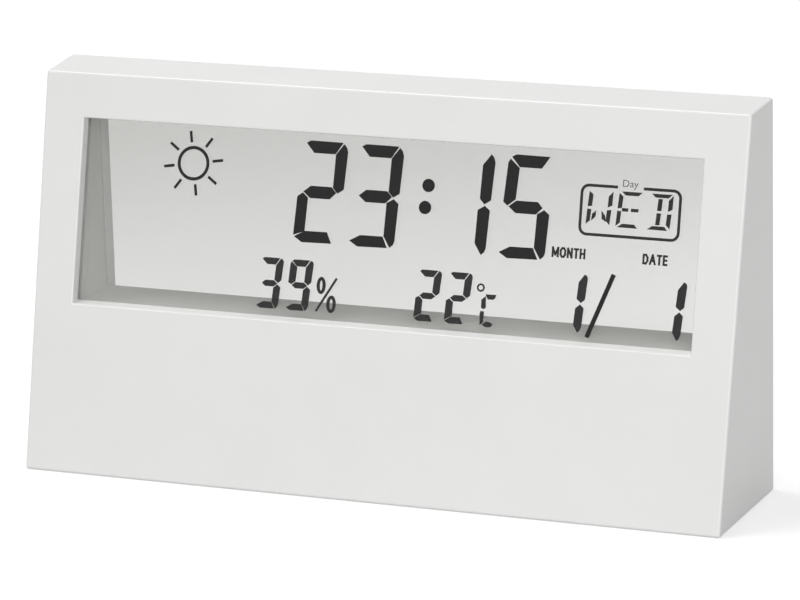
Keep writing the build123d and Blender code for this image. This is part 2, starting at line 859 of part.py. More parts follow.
def spring_point(turn, start_x, inward, z):
    """A point of the tapered coil and the direction of the wire there, after some turns."""
    share = turn / spring_turns
    rise = spring_length - spring_wire
    radius = (
        spring_foot_diameter - (spring_foot_diameter - spring_tip_diameter) * share - spring_wire
    ) / 2
    draw_in = (spring_tip_diameter - spring_foot_diameter) / 2 / spring_turns
    angle = 2 * math.pi * turn
    x = start_x + inward * (spring_wire / 2 + rise * share)
    point = Vector(x, cell_y + radius * math.cos(angle), z + radius * math.sin(angle))
    travel = Vector(
        inward * rise / spring_turns,
        draw_in * math.cos(angle) - 2 * math.pi * radius * math.sin(angle),
        draw_in * math.sin(angle) + 2 * math.pi * radius * math.cos(angle),
    )
    return point, travel.normalized()


def biarc(start, start_way, end, end_way):
    """Two arcs that leave start and reach end in the given directions and meet smoothly."""
    across = end - start
    along = across.dot(start_way + end_way)
    bend = 1 - start_way.dot(end_way)
    reach = (-along + math.sqrt(along * along + 2 * across.dot(across) * bend)) / (2 * bend)
    first_corner = start + start_way * reach
    second_corner = end - end_way * reach
    meeting = (first_corner + second_corner) * 0.5
    meeting_way = (second_corner - first_corner).normalized()
    first = TangentArc(start, meeting, tangent=start_way)
    return [first, TangentArc(meeting, end, tangent=meeting_way)]


def coil_spring(start_x, inward, z):
    """One unbroken wire in a tapered coil, a biarc for each quarter turn."""
    quarters = 4 * spring_turns
    stations = [spring_point(step / 4, start_x, inward, z) for step in range(quarters + 1)]
    arcs = []
    for (start, start_way), (end, end_way) in zip(stations, stations[1:]):
        arcs += biarc(start, start_way, end, end_way)
    start, start_way = stations[0]
    section = Plane(origin=start, z_dir=start_way) * Circle(spring_wire / 2)
    return sweep(section, path=Wire(arcs))


def spring_gap():
    """The least gap between turns: from each point to the wire one turn further on."""
    samples = 24
    least = spring_length
    for step in range(samples * (spring_turns - 1)):
        here = spring_point(step / samples, 0, 1, 0)[0]
        for other in range(step + samples // 2, step + 3 * samples // 2):
            there = spring_point(min(other / samples, spring_turns), 0, 1, 0)[0]
            least = min(least, (there - here).length - spring_wire)
    return least


def series_spring():
    return coil_spring(well_left + contact, 1, upper_cell_z)


def negative_spring():
    return coil_spring(well_right - contact, -1, lower_cell_z)


def bent_tube(points, bend, radius, first_way):
    """A tube along straight runs joined by arcs."""
    path = FilletPolyline(*points, radius=bend)
    section = Plane(origin=points[0], z_dir=first_way) * Circle(radius)
    return sweep(section, path=path)


def battery_lead(z):
    """A lead from a solder tab to the rear face of the main board."""
    radius = lead_diameter / 2
    y = cell_y - tab_forward
    end_y = slope_y(z, board_back) + radius * math.tan(lean) + same_place
    points = [
        (well_right + tab_length, y, z),
        (lead_board_x, y, z),
        (lead_board_x, end_y, z),
    ]
    return bent_tube(points, lead_bend, radius, (1, 0, 0))


def on_front(x, s, depth):
    return front_plane.from_local_coords(Vector(x, s, -depth))


def sounder_leads():
    """Two thin leads from the ceramic, along the inside of the front, to the main board."""
    leads = []
    start_depth = wall + sounder_rib_height + sounder_plate_thickness + ceramic_thickness
    run_depth = start_depth + sounder_lead_gap
    into = front_plane.z_dir * -1
    for side in (-1, 1):
        s = sounder_s + side * sounder_lead_spread / 2
        points = [
            on_front(sounder_lead_x, s, start_depth),
            on_front(sounder_lead_x, s, run_depth),
            on_front(sounder_lead_board_x, s, run_depth),
            on_front(sounder_lead_board_x, s, board_front),
        ]
        leads.append(bent_tube(points, sounder_lead_bend, sounder_lead_diameter / 2, into))
    return leads


def sounder_plate():
    depth = (wall + sounder_rib_height, wall + sounder_rib_height + sounder_plate_thickness)
    return front_rod(sounder_diameter / 2, sounder_x, sounder_s, depth)


def sounder_ceramic():
    start = wall + sounder_rib_height + sounder_plate_thickness
    return front_rod(ceramic_diameter / 2, sounder_x, sounder_s, (start, start + ceramic_thickness))


def main_board():
    """The board behind the lower front, drilled for its screws."""
    plate = front_block((board_left, board_right), (board_foot, board_head), (board_front, board_back))
    hole = small_screw_diameter / 2 + screw_clearance
    for x in board_post_x:
        for s in board_post_s:
            plate -= front_rod(hole, x, s, (board_front - overrun, board_back + overrun))
    return plate


def chip_cover():
    """The domed drop of epoxy over the bonded chip."""
    ball_radius = (chip_radius**2 + chip_height**2) / (2 * chip_height)
    ball_depth = board_back + chip_height - ball_radius
    ball = front * Pos(chip_x, chip_s, -ball_depth) * Sphere(ball_radius)
    span = around(chip_x, ball_radius)
    return ball & front_block(span, around(chip_s, ball_radius), (board_back, board_back + ball_radius))


def crystal():
    radius = crystal_diameter / 2
    can = Rot(X=90) * Cylinder(radius, crystal_length)
    return front * Pos(crystal_x, crystal_s, -(board_back + radius)) * can


def capacitors():
    cans = []
    for x in capacitor_x:
        depth = (board_back, board_back + capacitor_length)
        can = front_rod(capacitor_diameter / 2, x, capacitor_s, depth)
        cans.append(chamfer(can.edges().filter_by(GeomType.CIRCLE), capacitor_edge))
    return cans


def button_board():
    plate = block(
        (button_board_left, button_board_right),
        (button_board_front_y, button_board_back_y),
        (button_board_foot, button_board_head),
    )
    hole = small_screw_diameter / 2 + screw_clearance
    for x, z in button_posts:
        plate -= rod_y(hole, x, z, (button_board_front_y - overrun, button_board_back_y + overrun))
    return plate


def switch_bodies():
    """The five push switches' housings, each with the bore that its plunger slides in."""
    bodies = []
    for x in button_x:
        half = switch_size / 2
        body = block(around(x, half), (button_board_back_y, switch_top_y), around(button_z, half))
        body = fillet(body.edges().filter_by(Axis.Y), switch_corner)
        bore = plunger_diameter / 2 + plunger_clearance
        bore_depth = plunger_length - plunger_proud + button_travel + plunger_room
        body -= rod_y(bore, x, button_z, (switch_top_y - bore_depth, switch_top_y + overrun))
        bodies.append(body)
    return bodies


def plunger(x):
    return rod_y(plunger_diameter / 2, x, button_z, (button_stem_y - plunger_length, button_stem_y))


def button(x):
    """A round cap with the flange that stops it behind the cover and the stem on its switch."""
    cap_face_y = cover_face_y + button_proud
    cap = rod_y(button_diameter / 2, x, button_z, (button_flange_y, cap_face_y))
    cap = fillet(cap.edges().group_by(Axis.Y)[-1], button_edge)
    cap += rod_y(button_flange_diameter / 2, x, button_z, (button_flange_y, cover_inner_y))
    return cap + rod_y(plunger_diameter / 2, x, button_z, (button_stem_y, button_flange_y))


def ribbon():
    """The flat ribbon between the two boards."""
    start_y = slope_y(ribbon_foot, board_back) + ribbon_thickness / 2 * math.tan(lean) + same_place
    middle_y = (slope_y(ribbon_head, board_back) + button_board_front_y) / 2
    points = [
        (ribbon_x, start_y, ribbon_foot),
        (ribbon_x, middle_y, ribbon_foot),
        (ribbon_x, middle_y, ribbon_head),
        (ribbon_x, button_board_front_y, ribbon_head),
    ]
    path = FilletPolyline(*points, radius=ribbon_bend)
    start = Plane(origin=points[0], x_dir=(1, 0, 0), z_dir=(0, 1, 0))
    return sweep(start * Rectangle(ribbon_width, ribbon_thickness), path=path)


def humidity_sensor():
    """The slotted case of the humidity sensor, its slots towards the vents."""
    face_y = button_board_back_y + humidity_depth
    case = block(
        around(humidity_x, humidity_width / 2),
        (button_board_back_y, face_y),
        around(vent_z, humidity_height / 2),
    )
    for place in range(humidity_slots):
        z = vent_z + 2 * humidity_slot * (place - (humidity_slots - 1) / 2)
        case -= block(
            around(humidity_x, humidity_slot_length / 2),
            (face_y - humidity_slot_depth, face_y + overrun),
            around(z, humidity_slot / 2),
        )
    return case


def thermistor():
    """A bead on two legs that stand on the button board."""
    bead_y = button_board_back_y + bead_stand_off
    bead = Pos(thermistor_x, bead_y, vent_z) * Sphere(bead_diameter / 2)
    for side in (-1, 1):
        x = thermistor_x + side * bead_leg_spread / 2
        bead += rod_y(bead_leg_diameter / 2, x, vent_z, (button_board_back_y, bead_y))
    return bead


def screw(diameter, length, head, head_height):
    """A pan head screw with a cross drive, its seat at z = 0 and its shank towards -Z."""
    top = Pos(0, 0, head_height / 2) * Cylinder(head / 2, head_height)
    top = chamfer(top.edges().group_by(Axis.Z)[-1], head_height / 3)
    body = top + Pos(0, 0, -length / 2) * Cylinder(diameter / 2, length)
    for turn in (0, 90):
        blade = Box(drive_diameter, drive_blade, 2 * drive_depth)
        body -= Pos(0, 0, head_height) * Rot(Z=turn) * blade
    return body


def small_screw(length):
    return screw(small_screw_diameter, length, small_screw_head, small_screw_head_height)


def case_screws():
    one = screw(case_screw_diameter, case_screw_length, case_screw_head, case_screw_head_height)
    places = [Pos(side * case_screw_x, cup_seat_y, case_screw_z) for side in (-1, 1)]
    return [place * Rot(X=-90) * one for place in places]


def frame_screws():
    one = small_screw(frame_screw_length)
    return [front * Pos(x, ear_s, -flange_back) * Rot(X=180) * one for x in ear_x]


def board_screws():
    """Four screws in the main board and three in the button board."""
    one = small_screw(board_screw_length)
    screws = []
    for x in board_post_x:
        for s in board_post_s:
            screws.append(front * Pos(x, s, -board_back) * Rot(X=180) * one)
    for x, z in button_posts:
        screws.append(Pos(x, button_board_front_y, z) * Rot(X=90) * one)
    return screws


def pieces():
    """Every piece under its node's name."""
    made = {
        "front_case": front_case(),
        "front_polariser": front_polariser(),
        "front_glass": front_glass(),
        "rear_glass": rear_glass(),
        "rear_polariser": rear_polariser(),
        "display_frame": display_frame(),
        "contact_strip": contact_strip(),
        "rear_case": rear_case(),
        "rear_pane": rear_pane(),
        "battery_door": battery_door(),
        "upper_cell": cell(upper_cell_z, 1),
        "lower_cell": cell(lower_cell_z, -1),
        "series_contact": series_contact(),
        "series_spring": series_spring(),
        "positive_contact": positive_contact(),
        "negative_contact": negative_contact(),
        "negative_spring": negative_spring(),
        "positive_lead": battery_lead(upper_cell_z),
        "negative_lead": battery_lead(lower_cell_z),
        "main_board": main_board(),
        "chip_cover": chip_cover(),
        "crystal": crystal(),
        "capacitors": capacitors(),
        "button_board": button_board(),
        "switch_bodies": switch_bodies(),
        "ribbon": ribbon(),
        "humidity_sensor": humidity_sensor(),
        "thermistor": thermistor(),
        "sounder_plate": sounder_plate(),
        "sounder_ceramic": sounder_ceramic(),
        "sounder_leads": sounder_leads(),
        "case_screws": case_screws(),
        "frame_screws": frame_screws(),
        "board_screws": board_screws(),
    }
    for name, x in zip(button_names, button_x):
        made[name + "_button"] = button(x)
        made[name + "_plunger"] = plunger(x)
    return made


def write(name, piece):
    """One STEP file for each node; a group of like pieces stays separate solids."""
    if isinstance(piece, list):
        piece = Compound(children=piece)
    export_step(piece, os.path.join("parts", name + ".step"))


print("least gap between the turns of a battery spring:", round(spring_gap(), 2), "mm")
print("bend radii of the leads:", lead_bend, "mm and", sounder_lead_bend, "mm")
os.makedirs("parts", exist_ok=True)
for name, piece in pieces().items():
    write(name, piece)
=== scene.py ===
"""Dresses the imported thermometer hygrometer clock: display, lettering, cells, boards and finishes."""
import math

import bmesh
import bpy
import numpy as np
from bpy.props import FloatProperty, FloatVectorProperty, PointerProperty
from mathutils import Matrix, Vector


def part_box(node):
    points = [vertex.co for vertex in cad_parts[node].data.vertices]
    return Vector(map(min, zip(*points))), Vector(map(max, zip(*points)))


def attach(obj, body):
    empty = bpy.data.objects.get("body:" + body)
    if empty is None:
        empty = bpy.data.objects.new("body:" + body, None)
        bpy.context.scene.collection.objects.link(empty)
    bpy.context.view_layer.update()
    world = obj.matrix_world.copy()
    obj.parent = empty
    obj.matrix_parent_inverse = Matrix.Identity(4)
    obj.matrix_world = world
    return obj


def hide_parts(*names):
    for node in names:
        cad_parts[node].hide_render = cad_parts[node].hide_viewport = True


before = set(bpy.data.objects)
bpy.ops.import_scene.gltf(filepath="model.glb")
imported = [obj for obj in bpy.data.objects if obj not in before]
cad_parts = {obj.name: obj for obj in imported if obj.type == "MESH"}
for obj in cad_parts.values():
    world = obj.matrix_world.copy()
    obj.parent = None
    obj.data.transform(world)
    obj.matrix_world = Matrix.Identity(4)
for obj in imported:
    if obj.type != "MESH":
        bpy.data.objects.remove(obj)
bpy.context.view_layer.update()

bl_info = {
    "name": "Thermometer hygrometer clock",
    "version": (1, 0, 0),
    "blender": (4, 5, 0),
    "location": "View3D > Sidebar > Clock",
    "description": "Builds the see-through display, the lettering and the finishes of a desk clock",
    "category": "Object",
}

MM = 0.001


def linear(hex_colour):
    """The linear colour of an sRGB hex value: divided by 12.92 near black, and the 2.4 power above."""
    channels = np.array([int(hex_colour[place:place + 2], 16) for place in (1, 3, 5)]) / 255
    bent = np.where(channels <= 0.04045, channels / 12.92, ((channels + 0.055) / 1.055) ** 2.4)
    return (*bent.tolist(), 1.0)


# Places, all in mm


def node_box(name):
    """A node's lowest and highest corners."""
    low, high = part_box(name)
    return np.array(low) / MM, np.array(high) / MM


FRONT_RUN = 17.0  # how far the front leans back
FRONT_RISE = 68.34  # over this height
SLOPE = math.atan2(FRONT_RUN, FRONT_RISE)
CASE_DEPTH = 28.0
FRONT_FOOT_Y = -CASE_DEPTH / 2
FILM = 0.2
GLASS = 1.1
PANEL_FRONT = 2.0  # depth of the display's face behind the face of the case
REAR_FACE_Y = node_box("rear_case")[1][1]
CELL_RADIUS = 5.15


def on_front(across, up, depth):
    """Points of the leaning front: across is x, up runs along the slope, depth inwards, square to it."""
    across, up, depth = np.broadcast_arrays(across, up, depth)
    y = FRONT_FOOT_Y + up * math.sin(SLOPE) + depth * math.cos(SLOPE)
    z = up * math.cos(SLOPE) - depth * math.sin(SLOPE)
    return np.stack((across, y, z), axis=-1)


def on_rear(across, up, depth):
    """Points of the rear cover, read from behind: across runs to the reader's right, depth runs inwards."""
    across, up, depth = np.broadcast_arrays(across, up, depth)
    return np.stack((-across, REAR_FACE_Y - depth, up), axis=-1)


def slope_level(height, depth):
    """How far up the slope a point of that height and depth lies."""
    return (height + depth * math.sin(SLOPE)) / math.cos(SLOPE)


# Meshes


def turn_outwards(mesh):
    """Turns a closed mesh's faces outwards where the volume that they enclose comes out negative."""
    shell = bmesh.new()
    shell.from_mesh(mesh)
    inside_out = shell.calc_volume(signed=True) < 0
    shell.free()
    if inside_out:
        mesh.flip_normals()


def piece(name, points, faces, material, body, slot, smooth=False):
    """Puts points in mm and their faces into a mesh at the origin, with its material, on its body."""
    mesh = bpy.data.meshes.new(name)
    mesh.from_pydata((np.asarray(points).reshape(-1, 3) * MM).tolist(), [], faces)
    return dress(name, mesh, material, body, slot, smooth)


def dress(name, mesh, material, body, slot, smooth):
    """Makes a mesh in metres a finished piece."""
    mesh.validate()
    turn_outwards(mesh)
    if smooth:
        mesh.shade_smooth()
    mesh.materials.append(material)
    made = bpy.data.objects.new(name, mesh)
    bpy.context.scene.collection.objects.link(made)
    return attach(made, body)


def joined(parts):
    """One list of points and one of faces from several."""
    points, faces, first = [], [], 0
    for some_points, some_faces in parts:
        some_points = np.asarray(some_points).reshape(-1, 3)
        points.append(some_points)
        faces += [[corner + first for corner in face] for face in some_faces]
        first += len(some_points)
    return np.concatenate(points), faces


def closed_rows(rows, columns):
    """Quads of a grid whose rows close on themselves: each corner, the next along, and those a row on."""
    row, column = np.meshgrid(np.arange(rows - 1), np.arange(columns), indexing="ij")
    here = row * columns + column
    beside = row * columns + (column + 1) % columns
    return np.stack((here, beside, beside + columns, here + columns), axis=-1).reshape(-1, 4).tolist()


def capped(rows, columns):
    """The same grid with a cap over its first and its last row."""
    last = (rows - 1) * columns
    first_cap = list(range(columns))[::-1]
    return [*closed_rows(rows, columns), first_cap, list(range(last, last + columns))]


def anticlockwise(outline):
    """The outline turned so that its shoelace sum, twice its area, is positive."""
    outline = np.asarray(outline, dtype=float)
    x, y = outline.T
    area = np.sum(x * np.roll(y, -1) - np.roll(x, -1) * y)
    return outline if area > 0 else outline[::-1]


def grown(outline, by):
    """The outline with every edge moved outwards: a corner moves by the sum of its two edges' normals over
    one plus their dot product, which is held above a half so that sharp tips stay short."""
    outline = anticlockwise(outline)
    along = np.roll(outline, -1, axis=0) - outline
    along /= np.linalg.norm(along, axis=1, keepdims=True)
    after = np.stack((along[:, 1], -along[:, 0]), axis=1)
    before = np.roll(after, 1, axis=0)
    spread = np.maximum(1 + np.sum(before * after, axis=1, keepdims=True), 0.5)
    return outline + by * (before + after) / spread


def plate(outline, low, high, place):
    """A flat plate of that outline between two depths of a surface."""
    across, up = anticlockwise(outline).T
    points = np.concatenate((place(across, up, low), place(across, up, high)))
    return points, capped(2, len(across))


def loop_plate(outer, inner, low, high, place):
    """A flat plate between two outlines of as many points: its section has four corners, carried round."""
    sections = ((outer, low), (outer, high), (inner, high), (inner, low), (outer, low))
    points = [place(line[:, 0], line[:, 1], depth) for line, depth in sections[:4]]
    quads = np.array(closed_rows(5, len(outer))) % (4 * len(outer))
    return np.concatenate(points), quads.tolist()


def ellipse(middle, half_width, half_height, steps=48):
    """Points round an ellipse: half width times cosine, half height times sine."""
    turn = np.arange(steps) * 2 * np.pi / steps
    return np.stack((np.cos(turn) * half_width, np.sin(turn) * half_height), axis=1) + middle


def ring(middle, half_width, half_height, line, low, high, place):
    """A ring of that line width as a flat plate."""
    outer = ellipse(middle, half_width, half_height)
    inner = ellipse(middle, half_width - line, half_height - line)
    return loop_plate(outer, inner, low, high, place)


def bar(start, end, width):
    """The outline of a straight bar: both ends moved half the width to each side."""
    start, end = np.array(start), np.array(end)
    along = (end - start) / np.linalg.norm(end - start)
    aside = np.array((-along[1], along[0])) * width / 2
    return np.stack((start - aside, end - aside, end + aside, start + aside))


def lathe(profile, middle, steps):
    """A body turned about a line along x: y and z are each radius times cosine and sine of the turn."""
    along, radius = np.asarray(profile, dtype=float).T
    turn = np.arange(steps) * 2 * np.pi / steps
    y = middle[0] + radius[:, None] * np.cos(turn)
    z = middle[1] + radius[:, None] * np.sin(turn)
    points = np.stack((np.broadcast_to(along[:, None], y.shape), y, z), axis=-1)
    return points, capped(len(along), steps)


def tube(section, middle, steps):
    """The same for a closed section clear of the line: its last row joins its first."""
    points, _ = lathe(section, middle, steps)
    rows = len(section)
    return points, (np.array(closed_rows(rows + 1, steps)) % (rows * steps)).tolist()


def on_cell(middle):
    """A place on a cell that lies along x, read from behind: up runs round it, depth runs inwards."""

    def place(across, up, depth):
        across, up, depth = np.broadcast_arrays(across, up, depth)
        turn = up / CELL_RADIUS
        reach = CELL_RADIUS - depth
        y, z = middle[0] + reach * np.cos(turn), middle[1] + reach * np.sin(turn)
        return np.stack((-across, y, z), axis=-1)

    return place


def lettering(name, text, middle, height, place, low, high, material, body, slot, width=None, cuts=0):
    """Words as thin plates: the letters' outlines are scaled to the height, and to the width if it is
    given, their thickness runs between the two depths, and they are laid on the surface. Cuts at even
    heights let them follow a round one."""
    curve = bpy.data.curves.new(name, "FONT")
    curve.body = text
    curve.extrude = 1.0
    curve.resolution_u = 3
    holder = bpy.data.objects.new(name, curve)
    bpy.context.scene.collection.objects.link(holder)
    bpy.context.view_layer.update()
    mesh = bpy.data.meshes.new_from_object(holder)
    bpy.data.objects.remove(holder)
    shell = bmesh.new()
    shell.from_mesh(mesh)
    heights = [corner.co.y for corner in shell.verts]
    for level in np.linspace(min(heights), max(heights), cuts + 2)[1:-1]:
        everything = [*shell.verts, *shell.edges, *shell.faces]
        bmesh.ops.bisect_plane(shell, geom=everything, plane_co=(0, level, 0), plane_no=(0, 1, 0))
    shell.to_mesh(mesh)
    shell.free()
    letters = np.empty(3 * len(mesh.vertices))
    mesh.vertices.foreach_get("co", letters)
    letters = letters.reshape(-1, 3)
    least, most = letters.min(axis=0), letters.max(axis=0)
    scale_up = height / (most[1] - least[1])
    scale_across = width / (most[0] - least[0]) if width else scale_up
    centred = letters - (least + most) / 2
    share = (letters[:, 2] - least[2]) / (most[2] - least[2])
    laid = place(
        middle[0] + centred[:, 0] * scale_across,
        middle[1] + centred[:, 1] * scale_up,
        low + (high - low) * share,
    )
    mesh.vertices.foreach_set("co", (laid * MM).ravel())
    shell = bmesh.new()
    shell.from_mesh(mesh)
    bmesh.ops.remove_doubles(shell, verts=shell.verts, dist=0.0002 * MM)
    bmesh.ops.recalc_face_normals(shell, faces=shell.faces)
    shell.to_mesh(mesh)
    shell.free()
    mesh.materials.clear()
    return dress(name, mesh, material, body, slot, False)


# Finishes


def shade(tree, kind, inputs=None, **settings):
    """Adds one shader node, sets its properties, and fills or links each input that is given."""
    made = tree.nodes.new("ShaderNode" + kind)
    for name, value in settings.items():
        setattr(made, name, value)
    for socket, value in (inputs or {}).items():
        if isinstance(value, bpy.types.NodeSocket):
            tree.links.new(value, made.inputs[socket])
        else:
            made.inputs[socket].default_value = value
    return made


def start_finish(name):
    """A new material with an empty tree: the material, its tree and its Object coordinates."""
    material = bpy.data.materials.new(name)
    material.use_nodes = True
    tree = material.node_tree
    tree.nodes.clear()
    return material, tree, shade(tree, "TexCoord").outputs["Object"]


def surface(tree, inputs):
    """The principled shader as the material's surface."""
    shader = shade(tree, "BsdfPrincipled", inputs)
    shade(tree, "OutputMaterial", {"Surface": shader.outputs[0]})


def patches(tree, place, size, low, high, detail=2.0):
    """A soft noise of that patch size in mm, its values spread from low to high."""
    cloud = shade(tree, "TexNoise", {"Vector": place, "Scale": 1 / (size * MM), "Detail": detail})
    return shade(tree, "MapRange", {0: cloud.outputs["Fac"], 1: 0.3, 2: 0.7, 3: low, 4: high}).outputs[0]


def moulded(name, colour, roughness, grain, depth, mottle=0.012, gloss=0.5):
    """Moulded plastic: an even colour with a faint mottle, and the mould's grain pressed into it."""
    material, tree, place = start_finish(name)
    cloud = patches(tree, place, 16.0, 1 - mottle, 1 + mottle)
    tint = shade(tree, "HueSaturation", {"Color": colour, "Value": cloud}).outputs["Color"]
    spark = patches(tree, place, grain, 0.0, 1.0, 3.0)
    press = shade(tree, "Bump", {"Height": spark, "Strength": 1.0, "Distance": depth * MM})
    rough = shade(tree, "MapRange", {0: spark, 3: roughness - 0.04, 4: roughness + 0.04}).outputs[0]
    wanted = {"Base Color": tint, "Roughness": rough, "Normal": press.outputs[0], "IOR": 1.52}
    surface(tree, {**wanted, "Specular IOR Level": gloss})
    return material


def bright_metal(name, colour, roughness, streak, stretch):
    """Metal whose rolling or drawing lines, of that spacing in mm and that stretch, vary its gloss."""
    material, tree, place = start_finish(name)
    drawn = shade(tree, "Mapping", {"Vector": place, "Scale": stretch}).outputs[0]
    lines = patches(tree, drawn, streak, 0.0, 1.0, 4.0)
    rough = shade(tree, "MapRange", {0: lines, 3: roughness - 0.08, 4: roughness + 0.1}).outputs[0]
    shift = shade(tree, "MapRange", {0: lines, 3: 0.9, 4: 1.06}).outputs[0]
    tint = shade(tree, "HueSaturation", {"Color": colour, "Value": shift}).outputs["Color"]
    press = shade(tree, "Bump", {"Height": lines, "Strength": 0.3, "Distance": 0.01 * MM}).outputs[0]
    surface(tree, {"Base Color": tint, "Metallic": 1.0, "Roughness": rough, "Normal": press})
    return material


# The lean of the levels along which a clear piece's painted shade deepens.
PAINTED_SHADE_LEAN = 0.14  # how far a clear piece's level tints drop towards -X, as a share of the way


def see_through(name, colours, foot, head, ior):
    """Glass or clear plastic tinted from its first colour at height foot to its second at height head, in
    mm, along levels that lean; the drop from the first colour to the second is painted shade of the view
    through it. A ray towards a lamp goes straight through it, tinted by the third colour, so that light
    falls behind it."""
    foot_colour, head_colour_with_painted_shade, lamp_colour = colours
    material, tree, place = start_finish(name)
    upwards = {0: place, 1: (-PAINTED_SHADE_LEAN, 0.0, 1.0)}
    height = shade(tree, "VectorMath", upwards, operation="DOT_PRODUCT").outputs["Value"]
    share = shade(tree, "MapRange", {0: height, 1: foot * MM, 2: head * MM}).outputs[0]
    tint = shade(tree, "Mix", {0: share, 6: foot_colour, 7: head_colour_with_painted_shade}, data_type="RGBA").outputs[2]
    wiped = patches(tree, place, 9.0, 0.0, 0.015, 3.0)
    inputs = {"Base Color": tint, "Roughness": wiped, "IOR": ior, "Transmission Weight": 1.0}
    glass = shade(tree, "BsdfPrincipled", inputs)
    clear = shade(tree, "BsdfTransparent", {"Color": lamp_colour})
    to_lamp = shade(tree, "LightPath").outputs["Is Shadow Ray"]
    both = shade(tree, "MixShader", {0: to_lamp, 1: glass.outputs[0], 2: clear.outputs[0]})
    shade(tree, "OutputMaterial", {"Surface": both.outputs[0]})
    return material


def liquid_crystal(name, colour, dark):
    """Switched liquid crystal: nearly black. The share that isn't dark lets through what is behind it."""
    material, tree, place = start_finish(name)
    cloud = patches(tree, place, 0.8, 0.8, 1.2)
    tint = shade(tree, "HueSaturation", {"Color": colour, "Value": cloud}).outputs["Color"]
    surface(tree, {"Base Color": tint, "Roughness": 0.7, "Specular IOR Level": 0.0, "Alpha": dark})
    return material


def striped(name, first, second, pitch, dark, roughness, relief):
    """Layers side by side along x, a pitch in mm apart: x is folded back and forth, and the first colour
    lies over the dark share of each pitch, the second over the rest."""
    material, tree, place = start_finish(name)
    along = shade(tree, "SeparateXYZ", {0: place}).outputs["X"]
    fold = shade(tree, "Math", {0: along, 1: pitch * MM / 2}, operation="PINGPONG").outputs[0]
    edge = dark * pitch * MM / 2
    line = shade(tree, "MapRange", {0: fold, 1: edge * 0.9, 2: edge * 1.1}).outputs[0]
    tint = shade(tree, "Mix", {0: line, 6: first, 7: second}, data_type="RGBA").outputs[2]
    rough = patches(tree, place, 1.5, roughness - 0.05, roughness + 0.05)
    press = shade(tree, "Bump", {"Height": line, "Strength": 1.0, "Distance": relief * MM}).outputs[0]
    surface(tree, {"Base Color": tint, "Roughness": rough, "Normal": press})
    return material


def solder_mask(name, mask, over_copper):
    """Lacquer on a glass fibre board: paler over the copper tracks, in a net of 3.3 by 1.27 mm."""
    material, tree, place = start_finish(name)
    flat = shade(tree, "SeparateXYZ", {0: place}).outputs
    plan = shade(tree, "CombineXYZ", {0: flat["X"], 1: flat["Z"]}).outputs[0]
    net = {"Vector": plan, "Color1": mask, "Color2": mask, "Mortar": over_copper, "Scale": 1 / MM}
    net.update({"Mortar Size": 0.12, "Brick Width": 3.3, "Row Height": 1.27})
    tracks = shade(tree, "TexBrick", net).outputs
    relief = {"Height": tracks["Fac"], "Strength": 1.0, "Distance": 0.03 * MM}
    press = shade(tree, "Bump", relief).outputs[0]
    rough = patches(tree, place, 2.0, 0.24, 0.36)
    surface(tree, {"Base Color": tracks["Color"], "Roughness": rough, "Normal": press})
    return material


def shrunk_sleeve(name, colour, band_colour, band_middle, band_half):
    """Printed film shrunk on a cell: one colour, with a pale band round it about a place along x."""
    material, tree, place = start_finish(name)
    along = shade(tree, "SeparateXYZ", {0: place}).outputs["X"]
    near = {0: along, 1: band_middle * MM, 2: band_half * MM}
    band = shade(tree, "Math", near, operation="COMPARE").outputs[0]
    tint = shade(tree, "Mix", {0: band, 6: colour, 7: band_colour}, data_type="RGBA").outputs[2]
    rough = patches(tree, place, 4.0, 0.2, 0.3)
    surface(tree, {"Base Color": tint, "Roughness": rough, "Coat Weight": 0.4})
    return material


def wear(nodes, material):
    """Gives carried-over CAD nodes their finish."""
    for name in nodes:
        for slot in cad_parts[name].material_slots:
            slot.material = material


# Settings in the sidebar


def colour_setting(name, description, hex_colour):
    """A colour that the user can change."""
    limits = {"size": 4, "min": 0.0, "max": 1.0}
    colour = linear(hex_colour)
    return FloatVectorProperty(name=name, description=description, default=colour, subtype="COLOR", **limits)


def share_setting(name, description, default):
    """A share from 0 to 1 that the user can change."""
    return FloatProperty(
        name=name, description=description, default=default, subtype="FACTOR", min=0.0, max=1.0
    )


def angle_setting(name, description, degrees):
    """An angle that the user can change."""
    return FloatProperty(name=name, description=description, default=math.radians(degrees), subtype="ANGLE")


def power_setting(name, description, watts):
    """A lamp's power that the user can change."""
    return FloatProperty(name=name, description=description, default=watts, subtype="POWER", min=0.0)


class ClockCaseSettings(bpy.types.PropertyGroup):
    """Colours and grain of the mouldings"""

    case_colour: colour_setting("Case", "White ABS of the case, the rear cover and the door", "#E6E6E5")
    # The tunnel's white is set paler than the case's own: the difference is painted light inside the tunnel.
    tunnel_colour_with_painted_light: colour_setting("Light tunnel", "White ABS of the walls behind the display", "#EBEBE9")
    button_colour: colour_setting("Buttons", "White ABS of the buttons", "#E0E0DE")
    print_colour: colour_setting("Print", "Grey pad print beside the buttons", "#6A6C6E")
    grain: FloatProperty(
        name="Grain", description="Size of the mould's spark-eroded grain in mm", default=0.35, min=0.05
    )
    roughness: share_setting("Roughness", "Roughness of the case", 0.32)


class ClockDisplaySettings(bpy.types.PropertyGroup):
    """Tint and marks of the see-through display"""

    # The display's own polariser grey is real; the drop from the foot tint to the darker head tint is
    # painted shade of the view through it.
    foot_tint: colour_setting("Foot tint", "What the display lets through at its foot", "#F0F0EF")
    head_tint_with_painted_shade: colour_setting("Head tint", "What the display lets through at its head", "#EAEAE9")
    lamp_tint: colour_setting("Lamp tint", "How much of the lamps' light the polarisers pass", "#DADAD8")
    mark_colour: colour_setting("Marks", "Switched liquid crystal", "#060606")
    small_colour: colour_setting("Small marks", "Switched crystal of the small figures", "#2A2A2A")
    word_colour: colour_setting("Small word", "Thin grey print of the weekday's heading", "#5E5E5C")
    mark_thickness: FloatProperty(
        name="Thickness", description="Thickness of the marks in mm", default=0.04, min=0.005
    )
    darkness: share_setting("Darkness", "How dark a switched mark is", 0.985)


